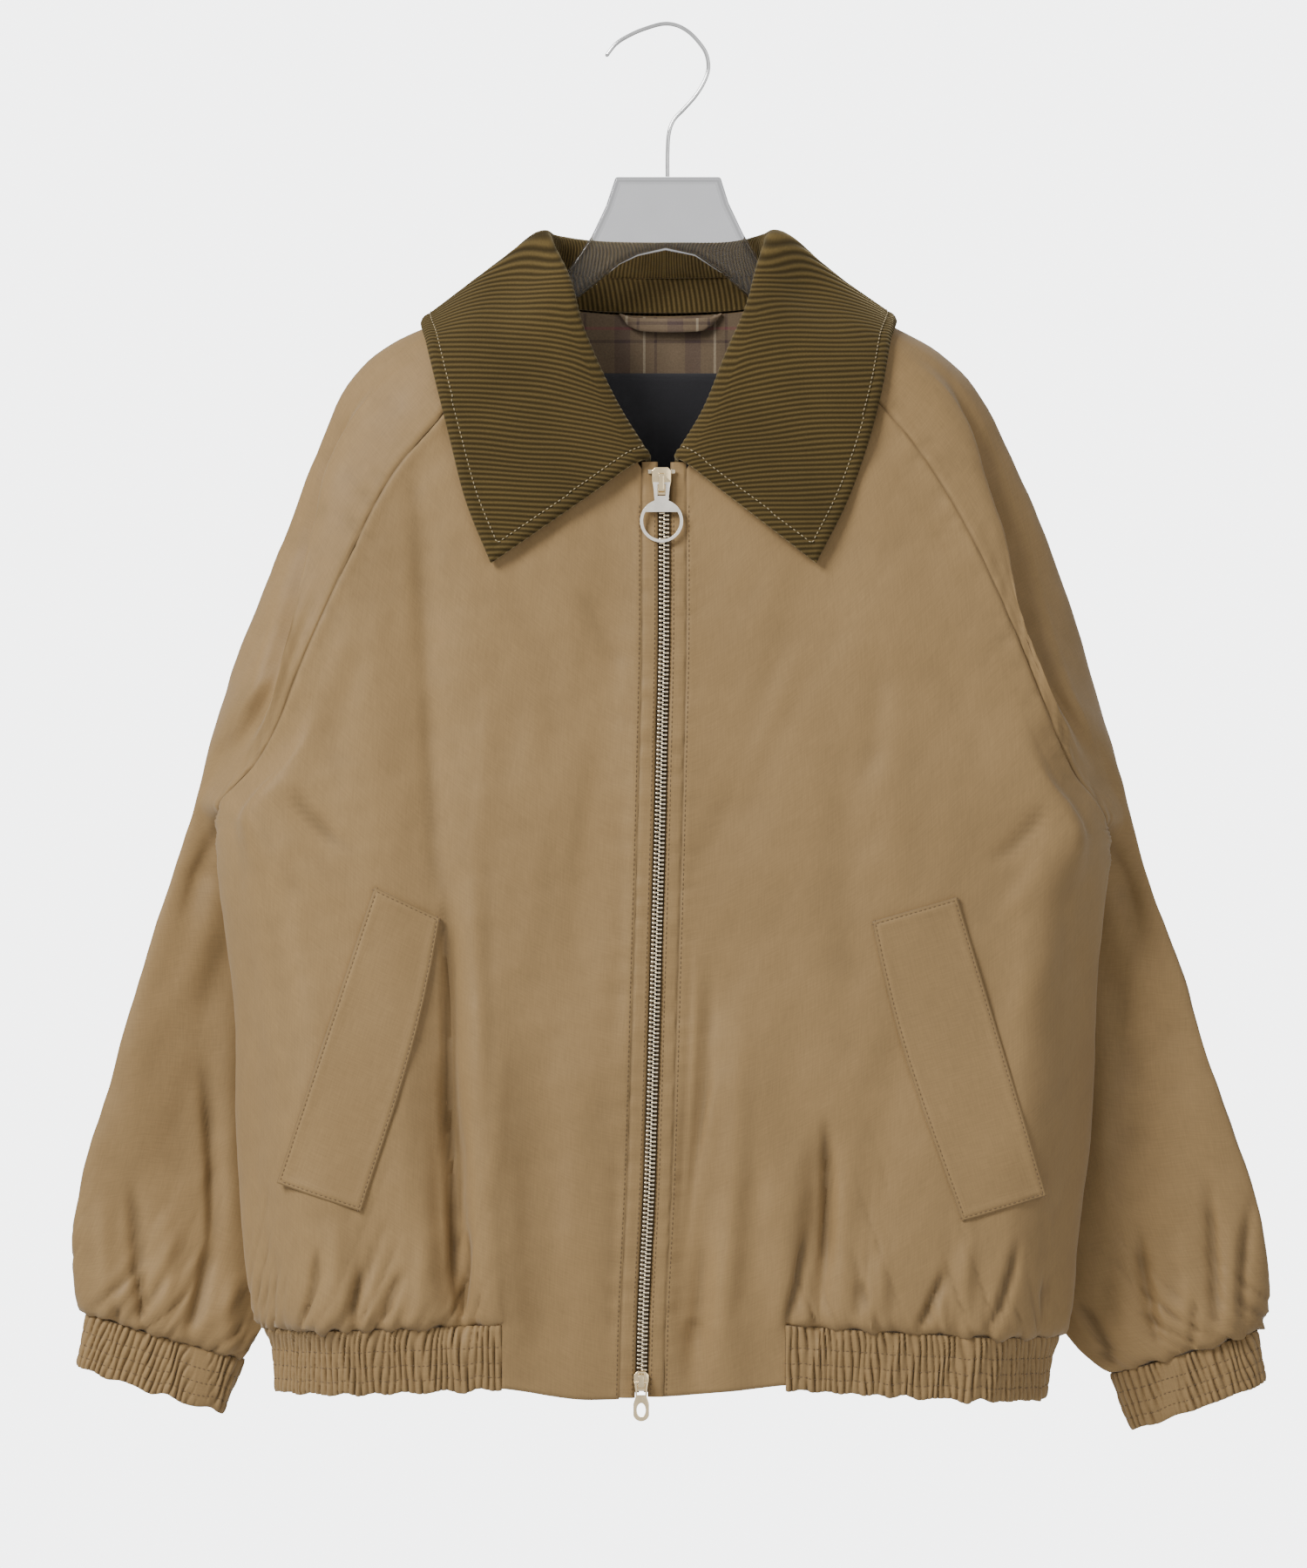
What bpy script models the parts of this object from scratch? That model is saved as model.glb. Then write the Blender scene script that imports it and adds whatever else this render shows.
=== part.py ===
"""A padded raglan jacket with a corduroy collar, hung on a clear hanger.

Sizes are in millimetres until a mesh is made. x runs to the viewer's right, y to the back of the
garment and drop straight down from the inside crown of the hanger's hook, which is the origin.
"""

import math

import bmesh
import bpy
import numpy as np
from mathutils.bvhtree import BVHTree

MM = 0.001

# Cloth and seams
SHELL = 2.4             # padded shell wall
LINING = 1.2
CORDUROY = 2.6
BAND_WALL = 2.6         # gathered hem band and cuffs
SEAM_GAP = 0.36         # between two pieces that are sewn together
LAY_GAP = 0.5           # between a piece and the cloth it lies on
SEAM_BEVEL = 0.45       # how much further a wall's inner edge is drawn back than its outer one
SEAM_SLACK = 2.2        # how much wider a seam opens where the cloth is thinned away
THINNEST = 0.3          # the least share of its thickness that the shell keeps in a tight fold
THINNINGS = 16

# Driving levels
NECK_DROP = 166.0       # the shoulder line where it meets the neck
ZIP_TOP = 277.0

# How far the fronts and the back stand out from the plane of the hanger
DEPTH = (
    # drop, front, back
    (120, 14, 18), (166, 24, 24), (200, 35, 29), (280, 45, 33), (400, 53, 35), (520, 57, 34),
    (700, 61, 35), (790, 58, 34), (860, 52, 31),
)
PILLOW = 50.0           # how far in from the outline the cloth reaches its full depth
NECK_DOME = 40.0        # the shoulder line carried on over the neck opening

LEFT, RIGHT = -1, 1     # the viewer's left and right

# The shoulder and the outer edge of each sleeve as seen from the front
OUTLINE = {
    LEFT: (
        # x, drop
        (-84, 166), (-149, 187), (-176, 202), (-195, 221), (-212, 258), (-238, 322), (-267, 399),
        (-288, 467), (-310, 540), (-342, 646), (-362, 718), (-367, 754), (-365, 778), (-360, 800),
    ),
    RIGHT: (
        (79, 166), (143, 187), (167, 200), (186, 217), (204, 244), (228, 296), (252, 362),
        (276, 440), (293, 502), (323, 592), (352, 681), (370, 735), (375, 778), (370, 811),
    ),
}

# The front raglan seam down to the armhole, then the side edge down to the hem band
FRONT_EDGE = {
    LEFT: (
        # x, drop
        (-78, 176), (-136, 243), (-166, 279), (-194, 332), (-221, 392), (-241, 440), (-260, 466),
        (-275, 480), (-278, 505), (-275, 536), (-268, 590), (-266, 640), (-264, 700), (-258, 760),
        (-248, 806), (-242, 818), (-240, 848),
    ),
    RIGHT: (
        (73, 176), (132, 236), (157, 266), (180, 302), (209, 362), (237, 430), (254, 464),
        (272, 490), (276, 512), (273, 540), (268, 600), (266, 660), (262, 715), (254, 772),
        (245, 811), (240, 823), (236, 853),
    ),
}

# Where the front of the sleeve folds back over itself, from the shoulder to the armhole
FOLD_EDGE = {
    LEFT: ((-194, 222), (-207, 265), (-221, 337), (-236, 399), (-247, 441), (-262, 462)),
    RIGHT: ((183, 221), (193, 269), (207, 313), (218, 362), (231, 406), (244, 444), (259, 468)),
}

# The back raglan seam, and the hidden inner edge of the sleeve that goes on below it
BACK_SEAM = {
    LEFT: ((-76, 171), (-118, 232), (-158, 312), (-188, 395), (-205, 465), (-214, 530)),
    RIGHT: ((71, 171), (114, 232), (154, 312), (186, 395), (203, 469), (213, 540)),
}
SLEEVE_INNER = {
    LEFT: ((-214, 530), (-204, 580), (-204, 645), (-214, 710), (-229, 765), (-247, 806),
           (-262, 829)),
    RIGHT: ((213, 540), (202, 590), (203, 655), (214, 725), (232, 785), (255, 822), (279, 838)),
}

FOLD_TO = 9 / 11        # the share of the armhole at which it turns under the arm
WRAP = 60.0             # how far each front runs round the side to its seam on the back
ROLL_IN = 46.0          # where the front starts to turn round the side
ROLL_NEAR = 13.0        # the last place that is shaped before the turn, and its lag in depth
ROLL_LAG = 24.0
FLAT_BLEND = 14.0       # the width over which the folds die out towards the turn
WRAP_START = {LEFT: 479.0, RIGHT: 489.0}
WRAP_END = {LEFT: 530.0, RIGHT: 540.0}

ZIP_LINE = ((0, 277), (0, 362), (-2, 470), (-5, 578), (-9, 713), (-13, 800), (-14, 846))
STRIP_IN = 3.9          # the strip beside the zip starts here
STRIP_OUT = 13.6
BAND_START = {LEFT: -99.0, RIGHT: 74.0}

# The largest folds: soft troughs and ridges across the front. Depth is towards the hanger.
FRONT_FOLDS = (
    # x0, drop0, x1, drop1, half-width, depth
    (-150, 330, -140, 560, 22, 5),
    (-139, 560, -134, 700, 15, 9),
    (-134, 700, -122, 800, 14, 11),
    (-108, 610, -98, 800, 15, -7),
    (-30, 330, -52, 560, 18, 4),
    (22, 640, 18, 840, 10, 5),
    (44, 620, 38, 830, 13, -5),
    (97, 690, 92, 800, 14, 8),
    (72, 700, 75, 800, 14, -5),
    (150, 600, 120, 760, 20, 4),
    (-215, 640, -200, 800, 16, -4),
)
BACK_FOLDS = (
    (-120, 420, -140, 790, 24, 6),
    (-60, 560, -70, 800, 16, -4),
    (20, 480, 10, 800, 22, 6),
    (90, 560, 100, 800, 16, -5),
    (140, 400, 150, 790, 22, 6),
)

# Gathers
HEM_WAVE = 8.2          # length of one gather of the hem band
CUFF_WAVES = 28
GATHER = 1.1            # how far a gather stands proud

# Looks: colour, roughness, metallic, alpha
TAN = ((0.356, 0.238, 0.125), 0.65, 0.0, 1.0)
CORD = ((0.089, 0.056, 0.021), 0.9, 0.0, 1.0)
LINED = ((0.084, 0.056, 0.027), 0.8, 0.0, 1.0)
LABELLED = ((0.017, 0.015, 0.016), 0.6, 0.0, 1.0)
TAPE = ((0.05, 0.04, 0.03), 0.8, 0.0, 1.0)
STEEL = ((0.6, 0.58, 0.55), 0.3, 1.0, 1.0)
BRASS = ((0.6, 0.45, 0.2), 0.3, 1.0, 1.0)
CLEAR = ((0.72, 0.72, 0.72), 0.12, 0.0, 0.35)


def steps(rows, at):
    """A smooth value at one place in a table of (place, value) rows that never overshoots."""
    x = np.array([row[0] for row in rows], float)
    y = np.array([row[1] for row in rows], float)
    if x[0] > x[-1]:
        x, y = x[::-1], y[::-1]
    run = np.diff(x)
    rise = np.diff(y) / run
    slope = np.zeros(len(x))
    for i in range(1, len(x) - 1):
        if rise[i - 1] * rise[i] > 0:
            a = 2 * run[i] + run[i - 1]
            b = run[i] + 2 * run[i - 1]
            slope[i] = (a + b) / (a / rise[i - 1] + b / rise[i])
    slope[0], slope[-1] = rise[0], rise[-1]
    at = np.clip(at, x[0], x[-1])
    i = np.clip(np.searchsorted(x, at) - 1, 0, len(run) - 1)
    t = (at - x[i]) / run[i]
    return (
        y[i] * (1 + 2 * t) * (1 - t) ** 2 + slope[i] * run[i] * t * (1 - t) ** 2
        + y[i + 1] * t * t * (3 - 2 * t) + slope[i + 1] * run[i] * t * t * (t - 1)
    )


def swap(rows):
    return tuple((drop, x) for x, drop in rows)


def ease(low, high, at):
    t = np.clip((at - low) / (high - low), 0, 1)
    return t * t * (3 - 2 * t)


def mix(a, b, t):
    return a + (b - a) * t


def path(points, counts):
    """Points along a smooth curve through the given ones.

    counts holds (index of a given point, number of stretches up to it, power by which the
    stretches get shorter towards it).
    """
    p = np.array(points, float)
    ends = np.vstack([2 * p[0] - p[1], p, 2 * p[-1] - p[-2]])
    fine = []
    for i in range(len(p) - 1):
        a, b, c, d = ends[i:i + 4]
        for t in np.linspace(0, 1, 16, endpoint=False):
            fine.append(
                0.5 * (2 * b + (c - a) * t + (2 * a - 5 * b + 4 * c - d) * t ** 2
                       + (3 * b - a - 3 * c + d) * t ** 3)
            )
    fine = np.array(fine + [p[-1]])
    length = np.concatenate([[0], np.cumsum(np.linalg.norm(np.diff(fine, axis=0), axis=1))])
    wanted, start = [0.0], 0.0
    for index, count, power in counts:
        end = length[index * 16]
        shares = np.linspace(0, 1, count + 1)[1:]
        wanted += list(mix(start, end, 1 - (1 - shares) ** power))
        start = end
    return np.stack([np.interp(wanted, length, fine[:, k]) for k in range(3)], axis=1)


def along(rows, t):
    """The point at a share of the length of an (x, drop) table."""
    p = np.array(rows, float)
    length = np.concatenate([[0], np.cumsum(np.linalg.norm(np.diff(p, axis=0), axis=1))])
    share = length / length[-1]
    return np.array([steps(list(zip(share, p[:, k])), t) for k in range(2)])


# ---- the form of the hung garment


def outline_distance(x, drop):
    """How far a point lies inside the outline of the shoulders and sleeves."""
    side = LEFT if x < 0 else RIGHT
    neck = abs(OUTLINE[side][0][0])
    if abs(x) < neck:
        ridge = NECK_DROP - NECK_DOME * (1 - (x / neck) ** 2)
    else:
        ridge = steps([(abs(r[0]), r[1]) for r in OUTLINE[side][:12]], abs(x))
    below = max(drop - ridge, 0.0)
    edge = abs(steps(swap(OUTLINE[side]), drop))
    beside = max(edge - abs(x), 0.0)
    return below * beside / max(math.hypot(below, beside), 1e-6)


def pillow(x, drop):
    t = min(outline_distance(x, drop) / PILLOW, 1.0)
    return math.sqrt(1 - (1 - t) ** 2)


def creases(rows, x, drop):
    total = 0.0
    for x0, drop0, x1, drop1, half_width, depth in rows:
        t = (drop - drop0) / (drop1 - drop0)
        fade = ease(-0.25, 0.35, t) * (1 - ease(0.85, 1.2, t))
        away = (x - mix(x0, x1, min(max(t, 0), 1))) / half_width
        total += depth * fade * math.exp(-away * away)
    return total


def front_y(x, drop):
    full = steps([row[:2] for row in DEPTH], drop)
    sides = 10 * ease(120, 300, abs(x))
    return -(full - sides) * pillow(x, drop) + creases(FRONT_FOLDS, x, drop)


def back_y(x, drop):
    full = steps([(row[0], row[2]) for row in DEPTH], drop)
    sides = 16 * ease(60, 230, abs(x)) * ease(300, 480, drop)
    return (full - sides) * pillow(x, drop) - creases(BACK_FOLDS, x, drop)


def side_y(drop):
    return mix(-4.0, 0.0, ease(480, 620, drop))


def zip_x(drop):
    return steps(swap(ZIP_LINE), drop)


def edge_x(side, drop):
    return steps(swap(FRONT_EDGE[side]), drop)


def wrap_share(side, drop):
    return ease(WRAP_START[side], WRAP_END[side], drop)


def side_seam(side, drop):
    """The seam on the back where a front that has run round the side meets the back."""
    x = edge_x(side, drop) - side * WRAP
    return x, back_y(x, drop)


def front_row(side, start, drop, tilt, count, power=1.0, turned_count=0):
    """One row of a front, from a place beside the zip out to its raglan or side seam."""
    out = edge_x(side, drop)
    wrap = wrap_share(side, drop)
    strip = zip_x(drop + tilt) + side * STRIP_OUT
    points = []
    roll = side * ROLL_IN * mix(0.6, 1.0, wrap)
    for share in (0.0, 0.3, 0.62, 1.0):
        x = mix(start, out - roll, share)
        at = drop + tilt * abs(out - x) / abs(out - strip)
        points.append((x, front_y(x, at), at))
    turned = ease(WRAP_START[side] - 75, WRAP_START[side] + 40, drop)
    near = out - side * ROLL_NEAR
    at = drop + tilt * abs(out - near) / abs(out - strip)
    points.append((near, mix(front_y(near, drop), side_y(drop) - ROLL_LAG, turned), at))
    points.append((out, mix(front_y(out, drop), side_y(drop), turned), drop))
    bunched = mix(1.0, 2.2, ease(WRAP_START[side] - 60, WRAP_START[side], drop))
    if wrap > 0.05:
        bunched = 1.0
        end_x, end_y = side_seam(side, drop)
        bend = out - side * ROLL_NEAR
        points.append((mix(out, bend, wrap), mix(points[-1][1], end_y * 0.5, wrap), drop))
        points.append((mix(out, end_x, wrap), mix(points[-2][1], end_y, wrap), drop))
    last = len(points) - 1
    row = path(points, ((4, count - 1 - turned_count, power), (last, turned_count, bunched)))
    rolled = abs(out - roll)
    for p in row[:count - turned_count]:
        flat = 1 - ease(rolled - FLAT_BLEND, rolled, abs(p[0]))
        p[1] = mix(p[1], front_y(p[0], p[2]), flat)
    return row


# ---- meshes


def paint(name, look):
    colour, roughness, metallic, alpha = look
    material = bpy.data.materials.new(name)
    material.use_nodes = True
    shader = material.node_tree.nodes["Principled BSDF"]
    shader.inputs["Base Color"].default_value = (*colour, 1)
    shader.inputs["Roughness"].default_value = roughness
    shader.inputs["Metallic"].default_value = metallic
    shader.inputs["Alpha"].default_value = alpha
    material.diffuse_color = (*colour, alpha)
    return material


def finish(name, verts, faces, look, smooth=True):
    mesh = bpy.data.meshes.new(name)
    mesh.from_pydata([(x * MM, y * MM, -drop * MM) for x, y, drop in verts], [], faces)
    bm = bmesh.new()
    bm.from_mesh(mesh)
    loose = [v for v in bm.verts if not v.link_faces]
    bmesh.ops.delete(bm, geom=loose, context="VERTS")
    bmesh.ops.recalc_face_normals(bm, faces=bm.faces)
    bm.to_mesh(mesh)
    bm.free()
    if smooth:
        mesh.shade_smooth()
        mesh.set_sharp_from_angle(angle=math.radians(50))
    mesh.materials.append(paint(name, look))
    obj = bpy.data.objects.new(name, mesh)
    bpy.context.scene.collection.objects.link(obj)
    return obj


def outward(grid, flip=False, closed_from=None):
    """Unit directions out of a grid whose rows run down and whose columns run across."""
    rows, cols = grid.shape[:2]
    closed_from = rows if closed_from is None else closed_from
    total = np.zeros(grid.shape)
    for i in range(rows - 1):
        for j in range(cols if i >= closed_from else cols - 1):
            k = (j + 1) % cols
            n = np.cross(grid[i + 1, k] - grid[i, j], grid[i + 1, j] - grid[i, k])
            n = n / max(np.linalg.norm(n), 1e-9)
            for at in ((i, j), (i, k), (i + 1, j), (i + 1, k)):
                total[at] += n
    total /= np.maximum(np.linalg.norm(total, axis=2, keepdims=True), 1e-9)
    return -total if flip else total


def draw_in(grid, amount, sides="tblr", side_rows=None):
    """Moves the border points of a grid inwards along the cloth."""
    g = grid.copy()
    amount = np.broadcast_to(amount, grid.shape[:2])[..., None]
    rows = slice(0, side_rows)

    def pull(a, b, by):
        d = b - a
        length = np.linalg.norm(d, axis=-1, keepdims=True)
        return a + d * np.minimum(by / np.maximum(length, 1e-6), 0.45)

    if "t" in sides:
        g[0] = pull(g[0], g[1], amount[0])
    if "b" in sides:
        g[-1] = pull(g[-1], g[-2], amount[-1])
    if "l" in sides:
        g[rows, 0] = pull(g[rows, 0], g[rows, 1], amount[rows, 0])
    if "r" in sides:
        g[rows, -1] = pull(g[rows, -1], g[rows, -2], amount[rows, -1])
    return g


def wall_faces(rows, cols, keep=lambda i, j: True, closed_from=None):
    """The faces between two grids: their cells, and a rim along every free edge."""
    closed_from = rows if closed_from is None else closed_from
    cells = [
        (i * cols + j, (i + 1) * cols + j, (i + 1) * cols + (j + 1) % cols, i * cols + (j + 1) % cols)
        for i in range(rows - 1)
        for j in range(cols if i >= closed_from else cols - 1)
        if keep(i, j)
    ]
    edges = {}
    for cell in cells:
        for a, b in zip(cell, cell[1:] + cell[:1]):
            edges[(a, b)] = True
    size = rows * cols
    halves = [(a, b, d) for a, b, c, d in cells] + [(b, c, d) for a, b, c, d in cells]
    faces = halves + [(c + size, b + size, a + size) for a, b, c in halves]
    for a, b in edges:
        if (b, a) not in edges:
            faces += [(b, a, a + size), (b, a + size, b + size)]
    return faces


def wall(name, outer, inner, look, **how):
    verts = np.concatenate([outer.reshape(-1, 3), inner.reshape(-1, 3)])
    return finish(name, verts, wall_faces(*outer.shape[:2], **how), look)


def cloth(name, grid, thickness, look, flip=False, sides="tblr", raised=0.0, **how):
    """A piece's wall: its outer points raised off a plain sheet, its inner ones further in."""
    n = outward(grid, flip, how.get("closed_from"))
    outer = draw_in(grid + n * raised, SEAM_GAP / 2, sides)
    inner = draw_in(grid - n * thickness, SEAM_GAP / 2 + SEAM_BEVEL, sides)
    return wall(name, outer, inner, look, **how)


def panel(name, grid, n, sides="tblr", side_rows=None, trim=None, **how):
    thin = np.ones(grid.shape[:2])
    faces = wall_faces(*grid.shape[:2], **how)
    return dict(name=name, grid=grid, n=n, sides=sides, side_rows=side_rows, trim=trim,
                thin=thin, faces=faces)


def lay(p):
    """A panel's outer and inner points with the thickness it has at each."""
    full = p["thin"][..., None]
    slack = (1 - p["thin"]) * SEAM_SLACK
    outer = draw_in(p["grid"], SEAM_GAP / 2 + slack, p["sides"], p["side_rows"])
    inner = p["grid"] - p["n"] * SHELL * full
    inner = draw_in(inner, SEAM_GAP / 2 + SEAM_BEVEL + slack, p["sides"], p["side_rows"])
    if p["trim"]:
        p["trim"](outer, inner)
    return np.concatenate([outer.reshape(-1, 3), inner.reshape(-1, 3)])


def settle(panels):
    """Thins the cloth where tight folds and seams would push it into itself."""
    for _ in range(THINNINGS):
        verts = [lay(p) for p in panels]
        trees = [BVHTree.FromPolygons(v.tolist(), p["faces"]) for v, p in zip(verts, panels)]
        marked = [set() for _ in panels]
        for a, first in enumerate(panels):
            for b, second in enumerate(panels[a:], a):
                for i, j in trees[a].overlap(trees[b]):
                    near, far = first["faces"][i], second["faces"][j]
                    if a == b and set(near) & set(far):
                        continue
                    marked[a].update(near)
                    marked[b].update(far)
        if not any(marked):
            break
        for p, hit in zip(panels, marked):
            flat = p["thin"].reshape(-1)
            for v in {v % flat.size for v in hit}:
                flat[v] = max(flat[v] * 0.8, THINNEST)
    for p in panels:
        p["verts"] = lay(p)


def share_seam(a, b):
    """Gives two lists of directions along a seam one direction, unless the cloth doubles back."""
    for k in range(len(a)):
        both = a[k] + b[k]
        length = np.linalg.norm(both)
        if length > 1.1:
            mitre = both / length
            reach = 1 / max(float(np.dot(mitre, a[k])), 0.75)
            a[k] = b[k] = mitre * reach


def plate(name, outline, low_y, high_y, look, holes=()):
    """A flat plate: an outline of (x, drop) with holes, between two depths."""
    bm = bmesh.new()
    for loop in (outline, *holes):
        ring = [bm.verts.new((x, low_y, drop)) for x, drop in loop]
        for a, b in zip(ring, ring[1:] + ring[:1]):
            bm.edges.new((a, b))
    bmesh.ops.triangle_fill(bm, edges=bm.edges, use_beauty=True)
    made = bmesh.ops.extrude_face_region(bm, geom=bm.faces[:])
    for v in made["geom"]:
        if isinstance(v, bmesh.types.BMVert):
            v.co.y = high_y
    bm.verts.index_update()
    verts = [tuple(v.co) for v in bm.verts]
    faces = [tuple(v.index for v in f.verts) for f in bm.faces]
    bm.free()
    return finish(name, verts, faces, look, smooth=False)


def tube(name, points, radius, sides, look):
    """A round bar along a run of points, with flat ends."""
    p = np.array(points, float)
    run = np.gradient(p, axis=0)
    run /= np.linalg.norm(run, axis=1, keepdims=True)
    flat = np.array([0.0, 1.0, 0.0])
    verts = []
    for at, d in zip(p, run):
        side = np.cross(d, flat)
        side /= np.linalg.norm(side)
        for k in range(sides):
            turn = 2 * math.pi * k / sides
            verts.append(at + radius * (math.cos(turn) * flat + math.sin(turn) * side))
    faces = [tuple(range(sides)), tuple(range((len(p) - 1) * sides, len(p) * sides))]
    for i in range(len(p) - 1):
        for k in range(sides):
            a, b = i * sides, (i + 1) * sides
            faces.append((a + k, a + (k + 1) % sides, b + (k + 1) % sides, b + k))
    return finish(name, verts, faces, look)


def united(name, pieces):
    """One body made of overlapping pieces."""
    first = pieces[0]
    for other in pieces[1:]:
        join = first.modifiers.new("join", "BOOLEAN")
        join.operation = "UNION"
        join.solver = "EXACT"
        join.object = other
    mesh = bpy.data.meshes.new_from_object(first.evaluated_get(bpy.context.evaluated_depsgraph_get()))
    look = first.data.materials[0]
    for piece in pieces:
        bpy.data.objects.remove(piece)
    mesh.materials.clear()
    mesh.materials.append(look)
    look.name = name
    obj = bpy.data.objects.new(name, mesh)
    bpy.context.scene.collection.objects.link(obj)
    return obj


# ---- body panels

FRONT_ROWS = 19
FRONT_COLS = 18
TURNED_COLS = 4         # columns of a front that run round the side
ARM_ROWS = 11           # rows of a front, the back and a sleeve above the armhole
FREE_ROW = 9            # the first row of the armhole that lies under the arm
CENTRE_ROWS = 2         # rows of the plain centre of a front, beside the hem band
ARM_LIFT = 70.0         # how much lower the armhole's row is at the zip
BAND_TOP_AT = {LEFT: (797.5, 807.0), RIGHT: (796.5, 812.0)}
BAND_END_AT = {LEFT: (838.0, 846.0), RIGHT: (836.0, 851.0)}


def front_seam_drop(side, t):
    """How low the front raglan seam is at a share of the armhole."""
    raglan = FRONT_EDGE[side][:8]
    if t < FOLD_TO:
        return along(raglan, t / FOLD_TO)[1]
    return mix(raglan[-1][1], WRAP_END[side], (t - FOLD_TO) / (1 - FOLD_TO))


def back_seam_drop(side, t):
    return steps([(0, BACK_SEAM[side][0][1]), (0.5, 322), (1, WRAP_END[side])], t)


def front_levels(side, rows=FRONT_ROWS, arm_rows=ARM_ROWS):
    """The drops of a front's rows beside the zip and at its outer seam."""
    arm = WRAP_END[side]
    top, low = BAND_TOP_AT[side]
    below = rows - arm_rows
    at_zip = np.concatenate(
        [np.linspace(ZIP_TOP, arm + ARM_LIFT, arm_rows + 1),
         np.linspace(arm + ARM_LIFT, top, below)[1:]]
    )
    arms = [front_seam_drop(side, t) for t in np.linspace(0, 1, arm_rows + 1)]
    return list(zip(at_zip, np.concatenate([arms, np.linspace(arm, low, below)[1:]])))


def front_grid(side, rows=FRONT_ROWS, arm_rows=ARM_ROWS, cols=FRONT_COLS):
    return np.array([
        front_row(side, zip_x(at_zip) + side * STRIP_OUT, at_seam, at_zip - at_seam, cols, 1.3,
                  TURNED_COLS)
        for at_zip, at_seam in front_levels(side, rows, arm_rows)
    ])


def centre_hem(x):
    """How low the plain centre of the hem hangs."""
    return steps(((-99, 840), (-43, 847), (-14, 846), (28, 843), (74, 838)), x)


def front_panel(side, grid, n):
    start = BAND_START[side]
    last = int(np.argmin(abs(grid[-1, :, 0] - start)))
    drop = grid[-1, last, 2]
    grid[-1, last] = (start, front_y(start, drop), drop)
    more = []
    for k in range(1, CENTRE_ROWS + 1):
        row = grid[-1].copy()
        for j in range(last + 1):
            x = row[j, 0]
            drop = mix(row[j, 2], centre_hem(x), k / CENTRE_ROWS)
            x += (zip_x(drop) - zip_x(row[j, 2])) * (1 - j / last)
            row[j] = (x, front_y(x, drop), drop)
        more.append(row)
    whole = np.concatenate([grid, np.array(more)])
    body = len(grid) - 1

    def trim(outer, inner):
        outer[body, last + 1:, 2] -= SEAM_GAP / 2
        inner[body, last + 1:, 2] -= SEAM_GAP / 2 + SEAM_BEVEL

    def keep(i, j):
        return i < body or j < last

    name = "front_left" if side == LEFT else "front_right"
    whole_n = np.concatenate([n, n[-1:], n[-1:]])
    return panel(name, whole, whole_n, "tlr", trim=trim, keep=keep)


def back_seam(side, drop):
    """The back raglan seam, and below the armhole the side seam."""
    arm = WRAP_END[side]
    if drop >= arm:
        return side_seam(side, drop)[0]
    return steps(swap(BACK_SEAM[side][:-1] + ((side_seam(side, arm)[0], arm),)), drop)


BACK_COLS = 21
NECK_BACK = 178.0


def back_levels(rows=FRONT_ROWS, arm_rows=ARM_ROWS):
    below = rows - arm_rows
    out = []
    for side in (LEFT, RIGHT):
        arms = [back_seam_drop(side, t) for t in np.linspace(0, 1, arm_rows + 1)]
        lower = np.linspace(WRAP_END[side], BAND_TOP_AT[side][1], below)[1:]
        out.append(np.concatenate([arms, lower]))
    return list(zip(*out))


def back_row(left_drop, right_drop, middle, cols):
    left, right = back_seam(LEFT, left_drop), back_seam(RIGHT, right_drop)
    row = []
    for j in range(cols):
        t = j / (cols - 1)
        x = mix(left, right, t)
        drop = mix(left_drop, right_drop, t) + middle * math.sin(math.pi * t) ** 0.7
        row.append((x, back_y(x, drop), drop))
    return row


def back_grid(rows=FRONT_ROWS, arm_rows=ARM_ROWS, cols=BACK_COLS, low=0.0):
    grid = []
    for i, (left_drop, right_drop) in enumerate(back_levels(rows, arm_rows)):
        middle = mix(NECK_BACK - 171, low - 6, ease(0, arm_rows, i))
        grid.append(back_row(left_drop, right_drop, middle, cols))
    return np.array(grid)


# ---- sleeves

SLEEVE_LOWER = 10
ARM_AT_OUTLINE = (
    # share of the armhole, share of the outline
    (0, 0.0), (0.22, 0.157), (0.44, 0.374), (0.66, 0.49), (0.818, 0.545), (0.9, 0.575), (1, 0.615),
)
FOLD_FROM = 0.22        # where the fold down the front of the sleeve starts
TUCK = 7.0              # how far the cloth turns in under the fold
FOLD_OVER = 6.5         # the least distance from the seam out to the fold
FOLD_STEP = 24.0        # how far back the sleeve lies behind the fold
SLEEVE_FORM = (
    # share below the armhole, outline y, inner y, forward bulge, thickness
    (0.0, 20, 24, 0, 34), (0.2, 16, 36, 4, 40), (0.5, 13, 38, 8, 42), (0.8, 16, 36, 12, 38),
    (0.93, 22, 32, 16, 26), (1.0, 28, 30, 15, 15),
)


def form(column, t):
    return steps([(row[0], row[column]) for row in SLEEVE_FORM], t)


def sleeve_ends(side, t):
    """Where one row of the upper sleeve meets the front and the back."""
    drop = front_seam_drop(side, t)
    front = front_row(side, side * STRIP_OUT, drop, 0.0, 3, turned_count=1)[-1]
    drop = back_seam_drop(side, t)
    x = back_seam(side, drop)
    return front, np.array((x, back_y(x, drop), drop))


def bulge(f):
    return max(1 - abs(2 * f - 1) ** 2.4, 0.0) ** (1 / 2.4)


def sleeve_layer(side, t, f, back):
    """A point on the front or back layer of the lower sleeve, f of the way to its inner edge."""
    share = mix(ARM_AT_OUTLINE[-1][1], 1.0, max(t, 0.0))
    outer = along(OUTLINE[side], share)
    inner = along(SLEEVE_INNER[side], max(t, 0.0))
    x, drop = mix(outer, inner, f)
    y = mix(form(1, t), form(2, t), f)
    if back:
        y += form(4, t) * bulge(f)
    else:
        y -= form(3, t) * bulge(f)
    return np.array((x, y, drop))


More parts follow.
